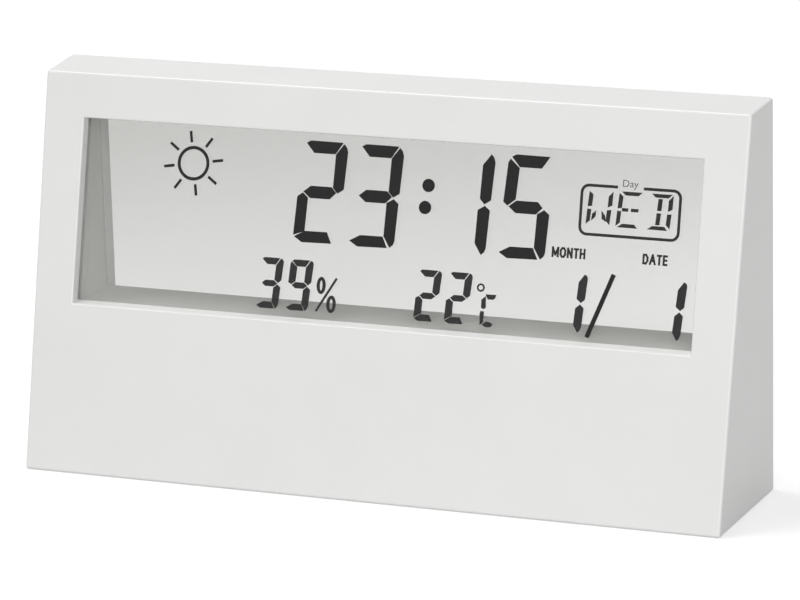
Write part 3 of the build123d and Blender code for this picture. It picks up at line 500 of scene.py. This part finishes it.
class ClockStageSettings(bpy.types.PropertyGroup):
    """Camera and lamps"""

    azimuth: angle_setting("Azimuth", "Camera's angle round the clock", 22.02)
    elevation: angle_setting("Elevation", "Camera's angle above the floor", 15.47)
    roll: angle_setting("Roll", "Camera's turn about its own axis", 1.457)
    distance: FloatProperty(
        name="Distance",
        description="From the camera to its target",
        default=0.7367,
        subtype="DISTANCE",
        unit="LENGTH",
    )
    lens: FloatProperty(name="Lens", description="Focal length in mm on a 36 mm sensor", default=192.73)
    key_power: power_setting("Key", "Power of the large lamp in front", 11.9)
    overhead_power: power_setting("Overhead", "Power of the lamp above", 10.6)
    edge_power: power_setting("Edge", "Power of the small lamp at the right", 1.9)
    rear_power: power_setting("Rear", "Power of the lamp behind", 8.0)
    sky: share_setting("Sky", "Strength of the light from all round", 0.24)


# Stage


def looked_at(tree):
    """1 for a ray from the camera, straight, off a gloss or through glass, and otherwise 0: a ray that has
    left a matt wall and then passed the glass only gathers light."""
    path = shade(tree, "LightPath").outputs
    seen = shade(tree, "Math", {0: path["Is Camera Ray"], 1: path["Is Glossy Ray"]}, operation="MAXIMUM")
    both = {0: seen.outputs[0], 1: path["Is Transmission Ray"]}
    clear = shade(tree, "Math", both, operation="MAXIMUM").outputs[0]
    straight = shade(tree, "Math", {0: path["Diffuse Depth"], 1: 0.5}, operation="LESS_THAN").outputs[0]
    return shade(tree, "Math", {0: clear, 1: straight}, operation="MULTIPLY").outputs[0]


def aimed(spot, target):
    """A square lamp's place in the world: its -Z axis points from the spot to the target."""
    away = Vector(spot) - Vector(target)
    return Matrix.Translation(spot) @ away.to_track_quat("Z", "Y").to_matrix().to_4x4()


class CLOCK_OT_stage(bpy.types.Operator):
    """Camera at the photograph's angle, white floor, soft lamps"""

    bl_idname = "clock.stage"
    bl_label = "Stage"

    def execute(self, context):
        settings = context.scene.clock_stage
        context.scene.view_settings.view_transform = "Standard"
        self.set_camera(context.scene, settings)
        self.light_world(context.scene, settings.sky)
        self.lay_floor(context.scene)
        middle = (0.0, 0.0, 0.03)
        for name, spot, width, power in (
            ("key_softbox", (0.4, -1.3, 0.6), 1.0, settings.key_power),
            ("overhead_softbox", (-0.45, 0.0, 1.4), 0.6, settings.overhead_power),
            ("edge_softbox", (1.3, -0.55, 0.16), 0.26, settings.edge_power),
            ("rear_softbox", (0.0, 1.5, 0.18), 0.34, settings.rear_power),
        ):
            lamp = bpy.data.lights.new(name, "AREA")
            lamp.shape = "SQUARE"
            lamp.size = width
            lamp.energy = power
            holder = bpy.data.objects.new(name, lamp)
            holder.matrix_world = aimed(spot, middle)
            # The glass has its own way for the lamps' light: a tinted straight one.
            holder.visible_transmission = False
            context.scene.collection.objects.link(holder)
        return {"FINISHED"}

    @staticmethod
    def set_camera(scene, settings):
        """The camera looks at its target from the given angles and is rolled about its own axis."""
        azimuth, elevation = settings.azimuth, settings.elevation
        target = Vector((2.0, 1.0, 32.22)) * MM
        level = Vector((math.sin(azimuth), -math.cos(azimuth), 0.0))
        back = level * math.cos(elevation) + Vector((0.0, 0.0, math.sin(elevation)))
        right = (-back).cross(Vector((0.0, 0.0, 1.0))).normalized()
        right = math.cos(settings.roll) * right - math.sin(settings.roll) * back.cross(right)
        turned = Matrix((right, back.cross(right), back)).transposed().to_4x4()
        lens = bpy.data.cameras.new("camera")
        lens.lens = settings.lens
        lens.sensor_width = 36.0
        lens.clip_start = 0.01
        camera = bpy.data.objects.new("camera", lens)
        camera.matrix_world = Matrix.Translation(target + back * settings.distance) @ turned
        scene.collection.objects.link(camera)
        scene.camera = camera

    @staticmethod
    def light_world(scene, sky):
        """White where it is looked at, and otherwise an even soft light."""
        world = bpy.data.worlds.new("studio")
        scene.world = world
        world.use_nodes = True
        tree = world.node_tree
        tree.nodes.clear()
        strength = shade(tree, "MapRange", {0: looked_at(tree), 3: sky, 4: 1.0}).outputs[0]
        light = shade(tree, "Background", {"Color": linear("#FFFFFF"), "Strength": strength})
        shade(tree, "OutputWorld", {"Surface": light.outputs[0]})

    @staticmethod
    def lay_floor(scene):
        """A wide flat floor that looks white and still takes the clock's shadow."""
        material, tree, place = start_finish("white_paper_sweep")
        cloud = patches(tree, place, 40.0, 0.99, 1.01)
        paper = shade(tree, "HueSaturation", {"Color": linear("#C4C4C4"), "Value": cloud}).outputs["Color"]
        matt = shade(tree, "BsdfDiffuse", {"Color": paper}).outputs[0]
        lift = shade(tree, "MapRange", {0: looked_at(tree), 3: 0.0, 4: 0.55}).outputs[0]
        glow = shade(tree, "Emission", {"Color": linear("#FFFFFF"), "Strength": lift}).outputs[0]
        both = shade(tree, "AddShader", {0: matt, 1: glow})
        shade(tree, "OutputMaterial", {"Surface": both.outputs[0]})
        reach = 3.0
        mesh = bpy.data.meshes.new("floor")
        corners = [(-reach, -reach, 0.0), (reach, -reach, 0.0), (reach, reach, 0.0), (-reach, reach, 0.0)]
        mesh.from_pydata(corners, [], [(0, 1, 2, 3)])
        mesh.materials.append(material)
        floor = bpy.data.objects.new("floor", mesh)
        scene.collection.objects.link(floor)


# The display


class CLOCK_OT_display_panel(bpy.types.Operator):
    """The liquid crystal cell: two glasses and two polarisers, bonded to one slab with a contact ledge"""

    bl_idname = "clock.display_panel"
    bl_label = "Display panel"

    def execute(self, context):
        """The slab's section, up the slope and into the case, is carried straight from side to side."""
        look = context.scene.clock_display
        low, high = node_box("front_glass")
        film_low, film_high = node_box("front_polariser")
        front, middle = PANEL_FRONT + FILM, PANEL_FRONT + FILM + GLASS
        back = middle + GLASS
        head, foot = slope_level(high[2], front), slope_level(low[2], middle)
        film_head, film_foot = slope_level(film_high[2], PANEL_FRONT), slope_level(film_low[2], front)
        step = slope_level(node_box("rear_glass")[0][2], back)
        rear_film = back + FILM
        section = np.array(
            [
                (foot, front), (film_foot, front), (film_foot, PANEL_FRONT), (film_head, PANEL_FRONT),
                (film_head, front), (head, front), (head, back), (film_head, back), (film_head, rear_film),
                (film_foot, rear_film), (film_foot, back), (step, back), (step, middle), (foot, middle),
            ]
        )
        up, depth = section.T
        points = np.concatenate((on_front(low[0], up, depth), on_front(high[0], up, depth)))
        # Stretched film laminated on glass: clear, slightly grey, with a soft anti-glare gloss. Its grey
        # deepens towards the head as painted shade of the view through it.
        film = see_through(
            "polariser_film_on_glass_with_painted_shade",
            (look.foot_tint, look.head_tint_with_painted_shade, look.lamp_tint),
            foot=28.0,
            head=60.0,
            ior=1.41,
        )
        slab = piece("display_panel", points, capped(2, len(section)), film, "case", "polariser")
        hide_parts("front_polariser", "front_glass", "rear_glass", "rear_polariser")
        return {"FINISHED"}


# Large figures: each segment's outline in a cell 8.4 wide and 17.5 high, from its lower left corner
LARGE_HEIGHT = 17.5
LARGE = {
    "a": [(0.72, 17.1), (1.4, 17.5), (7.33, 17.45), (6.14, 15.5), (2.24, 15.5)],
    "b": [(7.62, 17.2), (8.1, 16.7), (8.4, 15.9), (8.35, 9.5), (7.3, 8.8), (6.43, 9.66), (6.32, 15.36)],
    "c": [(7.43, 8.4), (8.35, 7.7), (8.36, 1.26), (8.15, 0.65), (7.65, 0.2), (6.38, 2.05), (6.27, 7.7)],
    "d": [(0.24, 0.87), (2.02, 1.86), (6.12, 1.9), (7.07, 0.1), (1.69, 0.0)],
    "e": [(0.91, 8.45), (1.9, 7.65), (1.92, 1.9), (0.0, 1.2), (0.0, 7.8)],
    "f": [(0.41, 16.7), (2.14, 15.26), (2.05, 9.98), (0.73, 8.9), (0.0, 9.44), (0.11, 16.1)],
    "g": [(1.05, 8.7), (2.27, 9.7), (6.1, 9.7), (7.0, 8.8), (5.95, 7.7), (2.34, 7.7)],
}
# Small figures: the same in a cell 4.3 wide and 8.75 high, with bolder bars
SMALL_HEIGHT = 8.75
SMALL_WIDTH = 4.3
SMALL = {
    "a": [(0.35, 8.5), (0.7, 8.75), (3.55, 8.75), (2.85, 7.65), (1.3, 7.65)],
    "b": [(3.8, 8.7), (4.15, 8.5), (4.3, 8.1), (4.2, 5.0), (3.65, 4.5), (2.95, 5.05), (3.0, 7.5)],
    "c": [(3.55, 4.2), (4.15, 3.7), (4.1, 1.0), (3.9, 0.35), (3.6, 0.05), (2.85, 1.2), (2.9, 3.6)],
    "d": [(0.1, 0.4), (1.2, 1.1), (2.75, 1.1), (3.35, 0.05), (0.8, 0.0)],
    "e": [(0.5, 4.2), (1.25, 3.6), (1.3, 1.35), (0.0, 0.6), (0.0, 3.85)],
    "f": [(0.2, 8.35), (1.3, 7.5), (1.25, 5.05), (0.55, 4.5), (0.0, 4.8), (0.05, 8.0)],
    "g": [(0.7, 4.35), (1.3, 4.85), (2.85, 4.85), (3.5, 4.35), (2.85, 3.85), (1.3, 3.85)],
}
BOLDER = {LARGE_HEIGHT: 0.065, SMALL_HEIGHT: 0.04}  # how far each segment's edges move out
LIT = {"1": "bc", "2": "abged", "3": "abgcd", "5": "afgcd", "9": "abcdfg"}
FIGURE_SLANT = 0.05
# Letters: bars of a cell 4.2 wide and 6 high
LETTER_BARS = {
    "top": [(0.4, 6.0), (3.9, 6.0), (3.3, 5.45), (1.1, 5.45)],
    "upper left": [(0.0, 5.65), (0.65, 5.15), (0.65, 3.3), (0.0, 3.2)],
    "lower left": [(0.0, 2.7), (0.6, 2.65), (0.6, 0.8), (0.0, 0.25)],
    "bottom": [(0.3, 0.0), (1.1, 0.55), (3.2, 0.55), (3.7, 0.0)],
    "upper right": [(4.15, 5.8), (4.2, 3.55), (3.55, 3.25), (3.5, 5.0)],
    "lower right": [(4.15, 2.7), (4.15, 0.3), (3.5, 0.95), (3.5, 2.65)],
    "middle left": [(0.8, 3.2), (1.8, 3.2), (1.8, 2.75), (0.8, 2.75)],
    "middle right": [(2.4, 3.2), (3.6, 3.2), (3.6, 2.75), (2.4, 2.75)],
    "upper stem": [(1.65, 5.15), (2.3, 5.15), (2.3, 3.25), (1.65, 3.25)],
    "lower stem": [(1.65, 2.75), (2.3, 2.75), (2.3, 0.85), (1.65, 0.85)],
    "left slant": [(1.55, 2.5), (1.5, 1.5), (0.9, 0.85), (0.95, 1.9)],
    "right slant": [(2.5, 2.55), (3.2, 1.7), (3.45, 0.8), (2.75, 1.2)],
}
LETTERS = {
    "W": ("upper left", "lower left", "left slant", "right slant", "lower right", "upper right"),
    "E": ("top", "upper left", "middle left", "middle right", "lower left", "bottom"),
    "D": ("top", "upper stem", "lower stem", "upper right", "lower right", "bottom"),
}
LETTER_SLANT = 0.07
# Strokes of the small words: lines through points of a cell 1 wide and 1 high
STROKES = {
    "M": [[(0, 0), (0, 1), (0.5, 0.2), (1, 1), (1, 0)]],
    "O": [[(0.3, 0), (0, 0.25), (0, 0.75), (0.3, 1), (0.7, 1), (1, 0.75), (1, 0.25), (0.7, 0), (0.3, 0)]],
    "N": [[(0, 0), (0, 1), (1, 0), (1, 1)]],
    "T": [[(0, 1), (1, 1)], [(0.5, 1), (0.5, 0)]],
    "H": [[(0, 0), (0, 1)], [(1, 0), (1, 1)], [(0, 0.5), (1, 0.5)]],
    "D": [[(0, 0), (0, 1), (0.6, 1), (1, 0.7), (1, 0.3), (0.6, 0), (0, 0)]],
    "A": [[(0, 0), (0.5, 1), (1, 0)], [(0.2, 0.35), (0.8, 0.35)]],
    "E": [[(1, 0), (0, 0), (0, 1), (1, 1)], [(0, 0.5), (0.9, 0.5)]],
}


def figure(character, cell, left, foot, height, scale=1.0):
    """The lit segments of one figure: across grows by the slant times the height above its middle."""
    lit = []
    for segment in LIT[character]:
        across, up = (grown(cell[segment], BOLDER[height]) * scale).T
        lean = FIGURE_SLANT * (up - height * scale / 2)
        lit.append(np.stack((left + across + lean, foot + up), axis=1))
    return lit


def letter(character, left, foot):
    """The lit bars of one letter, slanted from its foot."""
    lit = []
    for name in LETTERS[character]:
        across, up = grown(LETTER_BARS[name], 0.06).T
        lit.append(np.stack((left + across + LETTER_SLANT * up, foot + up), axis=1))
    return lit


def stroked(word, left, foot, height, widths, gap, line):
    """A word of bold strokes: each letter's points are scaled to its width and to the height, and a bar
    as wide as the line joins each point to the next, half a line longer at both ends."""
    bars = []
    for character, width in zip(word, widths):
        for path in STROKES[character]:
            points = np.array(path) * (width - line, height - line) + (left + line / 2, foot + line / 2)
            for start, end in zip(points[:-1], points[1:]):
                reach = (end - start) / np.linalg.norm(end - start) * line / 2
                bars.append(bar(start - reach, end + reach, line))
        left += width + gap
    return bars


def open_box(left, right, foot, head, radius, line, gap_left, gap_right):
    """A line round a box with round corners, open over the gap: its outer edge, then its inner one back."""
    quarter = np.linspace(0, np.pi / 2, 8)
    corners = (
        (right - radius, head - radius, np.pi / 2),
        (right - radius, foot + radius, 0.0),
        (left + radius, foot + radius, -np.pi / 2),
        (left + radius, head - radius, np.pi),
    )
    edges = []
    for inset in (0.0, line):
        bends = [
            np.stack((np.cos(start - quarter), np.sin(start - quarter)), axis=1) * (radius - inset) + (x, y)
            for x, y, start in corners
        ]
        edges.append(np.concatenate(([(gap_right, head - inset)], *bends, [(gap_left, head - inset)])))
    return np.concatenate((edges[0], edges[1][::-1]))


def mark_depths(look):
    """The depths of the marks' back and face: they lie between the two glasses."""
    middle = PANEL_FRONT + FILM + GLASS
    return middle + look.mark_thickness / 2, middle - look.mark_thickness / 2


def marks(name, outlines, rings, material, look):
    """One piece of display marks: a thin plate for each outline, and one for each ring."""
    low, high = mark_depths(look)
    parts = [plate(outline, low, high, on_front) for outline in outlines]
    parts += [ring(*one, low, high, on_front) for one in rings]
    return piece(name, *joined(parts), material, "case", "polariser")


class CLOCK_OT_time_figures(bpy.types.Operator):
    """Hours, minutes and the colon"""

    bl_idname = "clock.time_figures"
    bl_label = "Time"

    def execute(self, context):
        look = context.scene.clock_display
        material = liquid_crystal("liquid_crystal_time", look.mark_colour, look.darkness)
        outlines = [ellipse((7.36, 54.95), 1.14, 1.14), ellipse((6.97, 51.16), 1.14, 1.14)]
        for character, left in (("2", -16.6), ("3", -6.28), ("1", 10.4), ("5", 21.1)):
            outlines += figure(character, LARGE, left, 43.7, LARGE_HEIGHT)
        marks("time_figures", outlines, [], material, look)
        return {"FINISHED"}


class CLOCK_OT_climate_figures(bpy.types.Operator):
    """Humidity with its per cent sign, temperature with its degree sign"""

    bl_idname = "clock.climate_figures"
    bl_label = "Humidity and temperature"

    def execute(self, context):
        look = context.scene.clock_display
        material = liquid_crystal("liquid_crystal_climate", look.small_colour, look.darkness)
        outlines = []
        for character, right in (("3", -18.65), ("9", -13.05), ("2", 10.65), ("2", 16.25)):
            outlines += figure(character, SMALL, right - SMALL_WIDTH, 31.8, SMALL_HEIGHT)
        marks("climate_figures", outlines, [], material, look)
        per_cent = [bar((-11.91, 31.95), (-8.39, 37.86), 0.42)]
        per_cent_rings = [((-11.2, 36.45), 0.85, 1.5, 0.62), ((-9.15, 33.35), 0.89, 1.52, 0.62)]
        marks("humidity_sign", per_cent, per_cent_rings, material, look)
        celsius = [
            [(19.1, 37.17), (20.85, 37.17), (20.7, 36.7), (20.4, 36.45), (19.45, 36.45)],
            [(19.05, 36.85), (19.1, 34.95), (18.75, 34.75), (18.4, 34.9), (18.35, 36.25)],
            [(18.3, 34.25), (18.8, 34.25), (18.85, 33.9), (18.75, 32.4), (18.3, 32.05), (18.2, 33.9)],
            [(18.7, 32.05), (19.35, 32.55), (20.0, 32.5), (20.5, 32.2), (20.15, 31.75), (19.3, 31.7)],
        ]
        celsius = [grown(outline, 0.07) for outline in celsius]
        marks("temperature_sign", celsius, [((18.05, 38.3), 0.72, 0.72, 0.32)], material, look)
        return {"FINISHED"}


class CLOCK_OT_calendar(bpy.types.Operator):
    """Date figures with their slash, weekday in its rounded box, and the words beside them"""

    bl_idname = "clock.calendar"
    bl_label = "Calendar"

    def execute(self, context):
        look = context.scene.clock_display
        material = liquid_crystal("liquid_crystal_calendar", look.small_colour, look.darkness)
        date_scale = 9.9 / SMALL_HEIGHT
        slash = liquid_crystal("liquid_crystal_slash", look.mark_colour, look.darkness)
        marks("date_slash", [bar((37.5, 31.35), (41.6, 42.25), 0.8)], [], slash, look)
        date = []
        for right in (36.83, 54.35):
            date += figure("1", SMALL, right - SMALL_WIDTH * date_scale, 32.0, SMALL_HEIGHT, date_scale)
        marks("date_figures", date, [], material, look)
        weekday = [open_box(34.75, 52.65, 48.45, 57.2, 1.5, 0.5, 41.29, 45.86)]
        for character, left in (("W", 36.0), ("E", 41.3), ("D", 46.6)):
            weekday += letter(character, left, 50.25)
        marks("weekday", weekday, [], material, look)
        words = stroked("MONTH", 30.33, 44.42, 1.78, (1.3, 1.15, 1.05, 0.95, 1.05), 0.13, 0.36)
        words += stroked("DATE", 46.45, 44.35, 1.8, (1.05, 1.2, 0.95, 0.85), 0.12, 0.36)
        marks("words_month_date", words, [], material, look)
        low, high = mark_depths(look)
        thin = liquid_crystal("liquid_crystal_small_word", look.word_colour, 0.7)
        spot = (43.53, 57.45)
        lettering("word_day", "Day", spot, 1.6, on_front, low, high, thin, "case", "polariser", 2.75)
        return {"FINISHED"}


class CLOCK_OT_weather_sun(bpy.types.Operator):
    """The sun of the weather forecast: a ring and eight rays, an eighth of a turn apart"""

    bl_idname = "clock.weather_sun"
    bl_label = "Sun"

    def execute(self, context):
        look = context.scene.clock_display
        material = liquid_crystal("liquid_crystal_sun", look.mark_colour, look.darkness * 0.94)
        middle = np.array((-36.65, 55.89))
        turn = np.arange(8) * np.pi / 4 + math.radians(8.8)
        ways = np.stack((np.cos(turn), np.sin(turn)), axis=1)
        rays = [bar(middle + way * 3.65, middle + way * 5.65, 0.5) for way in ways]
        marks("weather_sun", rays, [(middle, 3.03, 3.03, 0.58)], material, look)
        return {"FINISHED"}


# Finishes of the carried-over nodes


class CLOCK_OT_mouldings(bpy.types.Operator):
    """Finishes of the case, the light tunnel, the rear cover, the door, the buttons and the rear pane"""

    bl_idname = "clock.mouldings"
    bl_label = "Mouldings"

    def execute(self, context):
        look = context.scene.clock_case
        # Spark-eroded ABS: a satin white whose grain only shows where light grazes it.
        case = moulded("moulded_abs_case", look.case_colour, look.roughness, look.grain, 0.004)
        # The tunnel's walls are a little more matt, so that they don't mirror the display. Their white is
        # paler than the case's, which is painted light inside the tunnel.
        tunnel = moulded("moulded_abs_light_tunnel_painted_light", look.tunnel_colour_with_painted_light, 0.85, look.grain, 0.004, gloss=0.08)
        # The buttons come from a polished mould.
        buttons = moulded("moulded_abs_buttons", look.button_colour, 0.3, 0.25, 0.002)
        wear(("front_case", "rear_case", "battery_door"), case)
        wear(("display_frame",), tunnel)
        wear([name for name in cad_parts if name.endswith("_button")], buttons)
        # Cast acrylic with polished faces: nearly clear at the foot, greyer towards the head on the left,
        # and that greying is painted shade of the view through it. It
        # mirrors less than bare acrylic: the photograph shows no second image of the figures in it.
        tints_with_painted_shade = linear("#EFF0EF"), linear("#D1D2CF"), linear("#A8A8A7")
        pane = see_through("polished_acrylic_pane_with_painted_shade", tints_with_painted_shade, foot=26.0, head=64.0, ior=1.18)
        wear(("rear_pane",), pane)
        return {"FINISHED"}


class CLOCK_OT_rear_words(bpy.types.Operator):
    """Pad-printed words over the buttons, and the raised word and arrow on the battery door"""

    bl_idname = "clock.rear_words"
    bl_label = "Words on the back"

    def execute(self, context):
        look = context.scene.clock_case
        # Two-part ink from a silicone pad: grey, dead matt, a few hundredths of a millimetre thick.
        ink = moulded("pad_printed_ink", look.print_colour, 0.7, 0.3, 0.002, 0.04)
        words = {"set": "SET", "mode": "MODE", "up": "UP", "down": "DOWN", "unit": "\u00b0C/\u00b0F"}
        for name, text in words.items():
            spot = (self.across(name + "_button"), 22.5)
            lettering("word_" + name, text, spot, 1.5, on_rear, 0.02, -0.03, ink, "case", "black_epoxy")
        across = self.across("battery_door")
        raised = moulded("moulded_abs_door_word", look.case_colour, look.roughness, look.grain, 0.004)
        body = ("battery_door", "white_case")
        lettering("word_open", "OPEN", (across, 9.4), 2.2, on_rear, 0.1, -0.3, raised, *body)
        arrow = [(-2.6, 0.0), (0.0, -2.8), (2.6, 0.0), (0.9, 0.0), (0.9, 0.8), (-0.9, 0.8), (-0.9, 0.0)]
        outline = np.array(arrow) + (across, 15.0)
        piece("open_arrow", *plate(outline, 0.1, -0.3, on_rear), raised, *body)
        return {"FINISHED"}

    @staticmethod
    def across(node):
        """Where a node's middle lies, read from behind."""
        low, high = node_box(node)
        return -(low[0] + high[0]) / 2


class CLOCK_OT_cells(bpy.types.Operator):
    """The two AAA cells: a steel can with its nub, in a printed sleeve drawn in over both ends"""

    bl_idname = "clock.cells"
    bl_label = "Cells"

    def execute(self, context):
        """Both parts are turned about the cell's axis from a section that starts at its negative end."""
        # Tin-plated steel, drawn and rolled over: bright, with rings from the press.
        steel = bright_metal("tin_plated_steel_can", linear("#C9C8C4"), 0.26, 0.5, (0.1, 1.0, 1.0))
        ink = moulded("flexo_printed_ink", linear("#E9E9E4"), 0.35, 0.4, 0.001)
        can = [
            (0.25, 3.3), (0.0, 3.5), (0.05, 4.2), (0.4, 4.7), (43.0, 4.7), (43.3, 4.1), (43.2, 2.9),
            (43.35, 2.3), (44.35, 2.0), (44.5, 1.75),
        ]
        sleeve = [
            (0.12, 4.15), (0.02, 4.6), (0.15, 4.95), (0.6, CELL_RADIUS), (42.8, CELL_RADIUS), (43.35, 4.95),
            (43.5, 4.5), (43.45, 3.9), (43.3, 3.9), (43.0, 4.6), (0.5, 4.6), (0.25, 4.15),
        ]
        for name, way in (("upper_cell", 1), ("lower_cell", -1)):
            low, high = node_box(name)
            foot = low[0] if way > 0 else high[0]
            middle = (low[1:] + high[1:]) / 2
            band = foot + way * 35.5
            film = shrunk_sleeve("shrunk_sleeve_" + name, linear("#2E5A78"), linear("#C9CFD2"), band, 4.5)
            for part, section, material, slot in (
                ("sleeve", sleeve, film, "cell_jacket"),
                ("can", can, steel, "nickel_plate"),
            ):
                placed = [(foot + way * along, out) for along, out in section]
                shape = tube(placed, middle, 64) if part == "sleeve" else lathe(placed, middle, 48)
                made = piece(name + "_" + part, *shape, material, "case", slot, smooth=part == "sleeve")
                if part == "sleeve":
                    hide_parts(name)
            for mark, text, along, height in (
                ("plus", "+", 41.0, 1.8), ("minus", "\u2013", 3.0, 0.3), ("size", "AAA  1.5 V", 17.5, 1.5),
            ):
                spot = (-(foot + way * along), 1.2)
                wrapped = (on_cell(middle), 0.03, -0.04, ink, "case", "cell_jacket")
                lettering(name + "_" + mark, text, spot, height, *wrapped, cuts=5)
        return {"FINISHED"}


class CLOCK_OT_metalwork(bpy.types.Operator):
    """Finishes of the contacts, springs, screws, sounder and crystal"""

    bl_idname = "clock.metalwork"
    bl_label = "Metalwork"

    def execute(self, context):
        # Nickel on spring steel strip and wire: warm and bright, with the strip's rolling lines.
        nickel = bright_metal("nickel_plated_spring_steel", linear("#C8C4BA"), 0.26, 0.5, (0.15, 1.0, 1.0))
        contacts = ("series_contact", "positive_contact", "negative_contact")
        wear((*contacts, "series_spring", "negative_spring"), nickel)
        # Bright zinc on cold-headed screws: bluish grey, a little cloudy.
        zinc = bright_metal("zinc_plated_screw", linear("#B7BBBD"), 0.34, 0.8, (1.0, 1.0, 1.0))
        wear(("case_screws", "frame_screws", "board_screws"), zinc)
        # Half-hard brass sheet: yellow, with fine lines one way.
        brass = bright_metal("rolled_brass_sheet", linear("#C8A765"), 0.3, 0.4, (0.08, 1.0, 1.0))
        wear(("sounder_plate",), brass)
        # Silver paste fired on the ceramic: pale and satin.
        silver = bright_metal("fired_silver_paste", linear("#DAD7CE"), 0.5, 0.25, (1.0, 1.0, 1.0))
        wear(("sounder_ceramic",), silver)
        # Drawn nickel silver can.
        can = bright_metal("drawn_crystal_can", linear("#C9C9C5"), 0.22, 0.4, (1.0, 1.0, 0.1))
        wear(("crystal",), can)
        return {"FINISHED"}


class CLOCK_OT_electronics(bpy.types.Operator):
    """Finishes of the boards, the parts on them, the leads and the contact strip"""

    bl_idname = "clock.electronics"
    bl_label = "Electronics"

    def execute(self, context):
        # Photo-imaged lacquer over etched copper: glossy green, paler over the tracks.
        mask = solder_mask("solder_mask_on_glass_fibre", linear("#14532D"), linear("#2F7D48"))
        wear(("main_board", "button_board"), mask)
        # Carbon-filled and clear silicone layers pressed together. Real ones are 0.1 mm apart: drawn 0.4 mm.
        carbon, clear = linear("#1A1A1C"), linear("#C9C4BC")
        zebra = striped("layered_silicone_strip", carbon, clear, 0.4, 0.5, 0.6, 0.0)
        wear(("contact_strip",), zebra)
        # Flat cable: tinned copper between two films, grey over the gaps and paler over each conductor.
        gap, conductor = linear("#9A9892"), linear("#D0CEC8")
        flat = striped("laminated_flat_cable", gap, conductor, 1.27, 0.4, 0.35, 0.05)
        wear(("ribbon",), flat)
        for nodes, name, colour, roughness, grain, depth in (
            # Potting resin dropped over the chip: black, glossy, gently wavy.
            (("chip_cover",), "cast_black_epoxy", "#121214", 0.2, 4.0, 0.05),
            # Heat-shrunk PVC on the capacitors.
            (("capacitors",), "shrunk_pvc_sleeve", "#22262E", 0.35, 1.5, 0.01),
            # Dipped bead of the thermistor.
            (("thermistor",), "dipped_epoxy_bead", "#1B1D1B", 0.28, 0.8, 0.01),
            # Glass-filled PBT: black, with a dull grain.
            (("switch_bodies",), "moulded_pbt_switch", "#1D1D1F", 0.5, 0.3, 0.004),
            # Liquid crystal polymer: pale, silky.
            (("humidity_sensor",), "moulded_lcp_sensor_case", "#D8DAD5", 0.45, 0.4, 0.004),
            # Extruded PVC insulation, red and black.
            (("positive_lead", "sounder_leads"), "extruded_red_pvc", "#A82A22", 0.4, 1.0, 0.005),
            (("negative_lead",), "extruded_black_pvc", "#1A1A1B", 0.4, 1.0, 0.005),
        ):
            wear(nodes, moulded(name, linear(colour), roughness, grain, depth, 0.04))
        plunger = moulded("moulded_pbt_plunger", linear("#242426"), 0.4, 0.3, 0.003, 0.04)
        wear([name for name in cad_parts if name.endswith("_plunger")], plunger)
        return {"FINISHED"}


class CLOCK_PT_sidebar(bpy.types.Panel):
    """Lists the clock's pieces and their settings"""

    bl_idname = "CLOCK_PT_sidebar"
    bl_label = "Clock"
    bl_space_type = "VIEW_3D"
    bl_region_type = "UI"
    bl_category = "Clock"

    def draw(self, context):
        for made in OPERATORS:
            self.layout.operator(made.bl_idname, text=made.bl_label)
        for name, group in SETTINGS.items():
            box = self.layout.box()
            for setting in group.__annotations__:
                box.prop(getattr(context.scene, name), setting)


SETTINGS = {
    "clock_case": ClockCaseSettings,
    "clock_display": ClockDisplaySettings,
    "clock_stage": ClockStageSettings,
}
OPERATORS = (
    CLOCK_OT_stage,
    CLOCK_OT_mouldings,
    CLOCK_OT_metalwork,
    CLOCK_OT_electronics,
    CLOCK_OT_cells,
    CLOCK_OT_rear_words,
    CLOCK_OT_display_panel,
    CLOCK_OT_time_figures,
    CLOCK_OT_climate_figures,
    CLOCK_OT_calendar,
    CLOCK_OT_weather_sun,
)


def register():
    """Makes the classes known and hangs the settings on the scene."""
    for made in (*SETTINGS.values(), *OPERATORS, CLOCK_PT_sidebar):
        bpy.utils.register_class(made)
    for name, group in SETTINGS.items():
        setattr(bpy.types.Scene, name, PointerProperty(type=group))


def unregister():
    """Takes the settings and the classes away again."""
    for name in SETTINGS:
        delattr(bpy.types.Scene, name)
    for made in reversed((*SETTINGS.values(), *OPERATORS, CLOCK_PT_sidebar)):
        bpy.utils.unregister_class(made)


def main():
    """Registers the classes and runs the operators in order."""
    register()
    for made in OPERATORS:
        group, name = made.bl_idname.split(".")
        getattr(getattr(bpy.ops, group), name)()


if __name__ == "__main__":
    main()
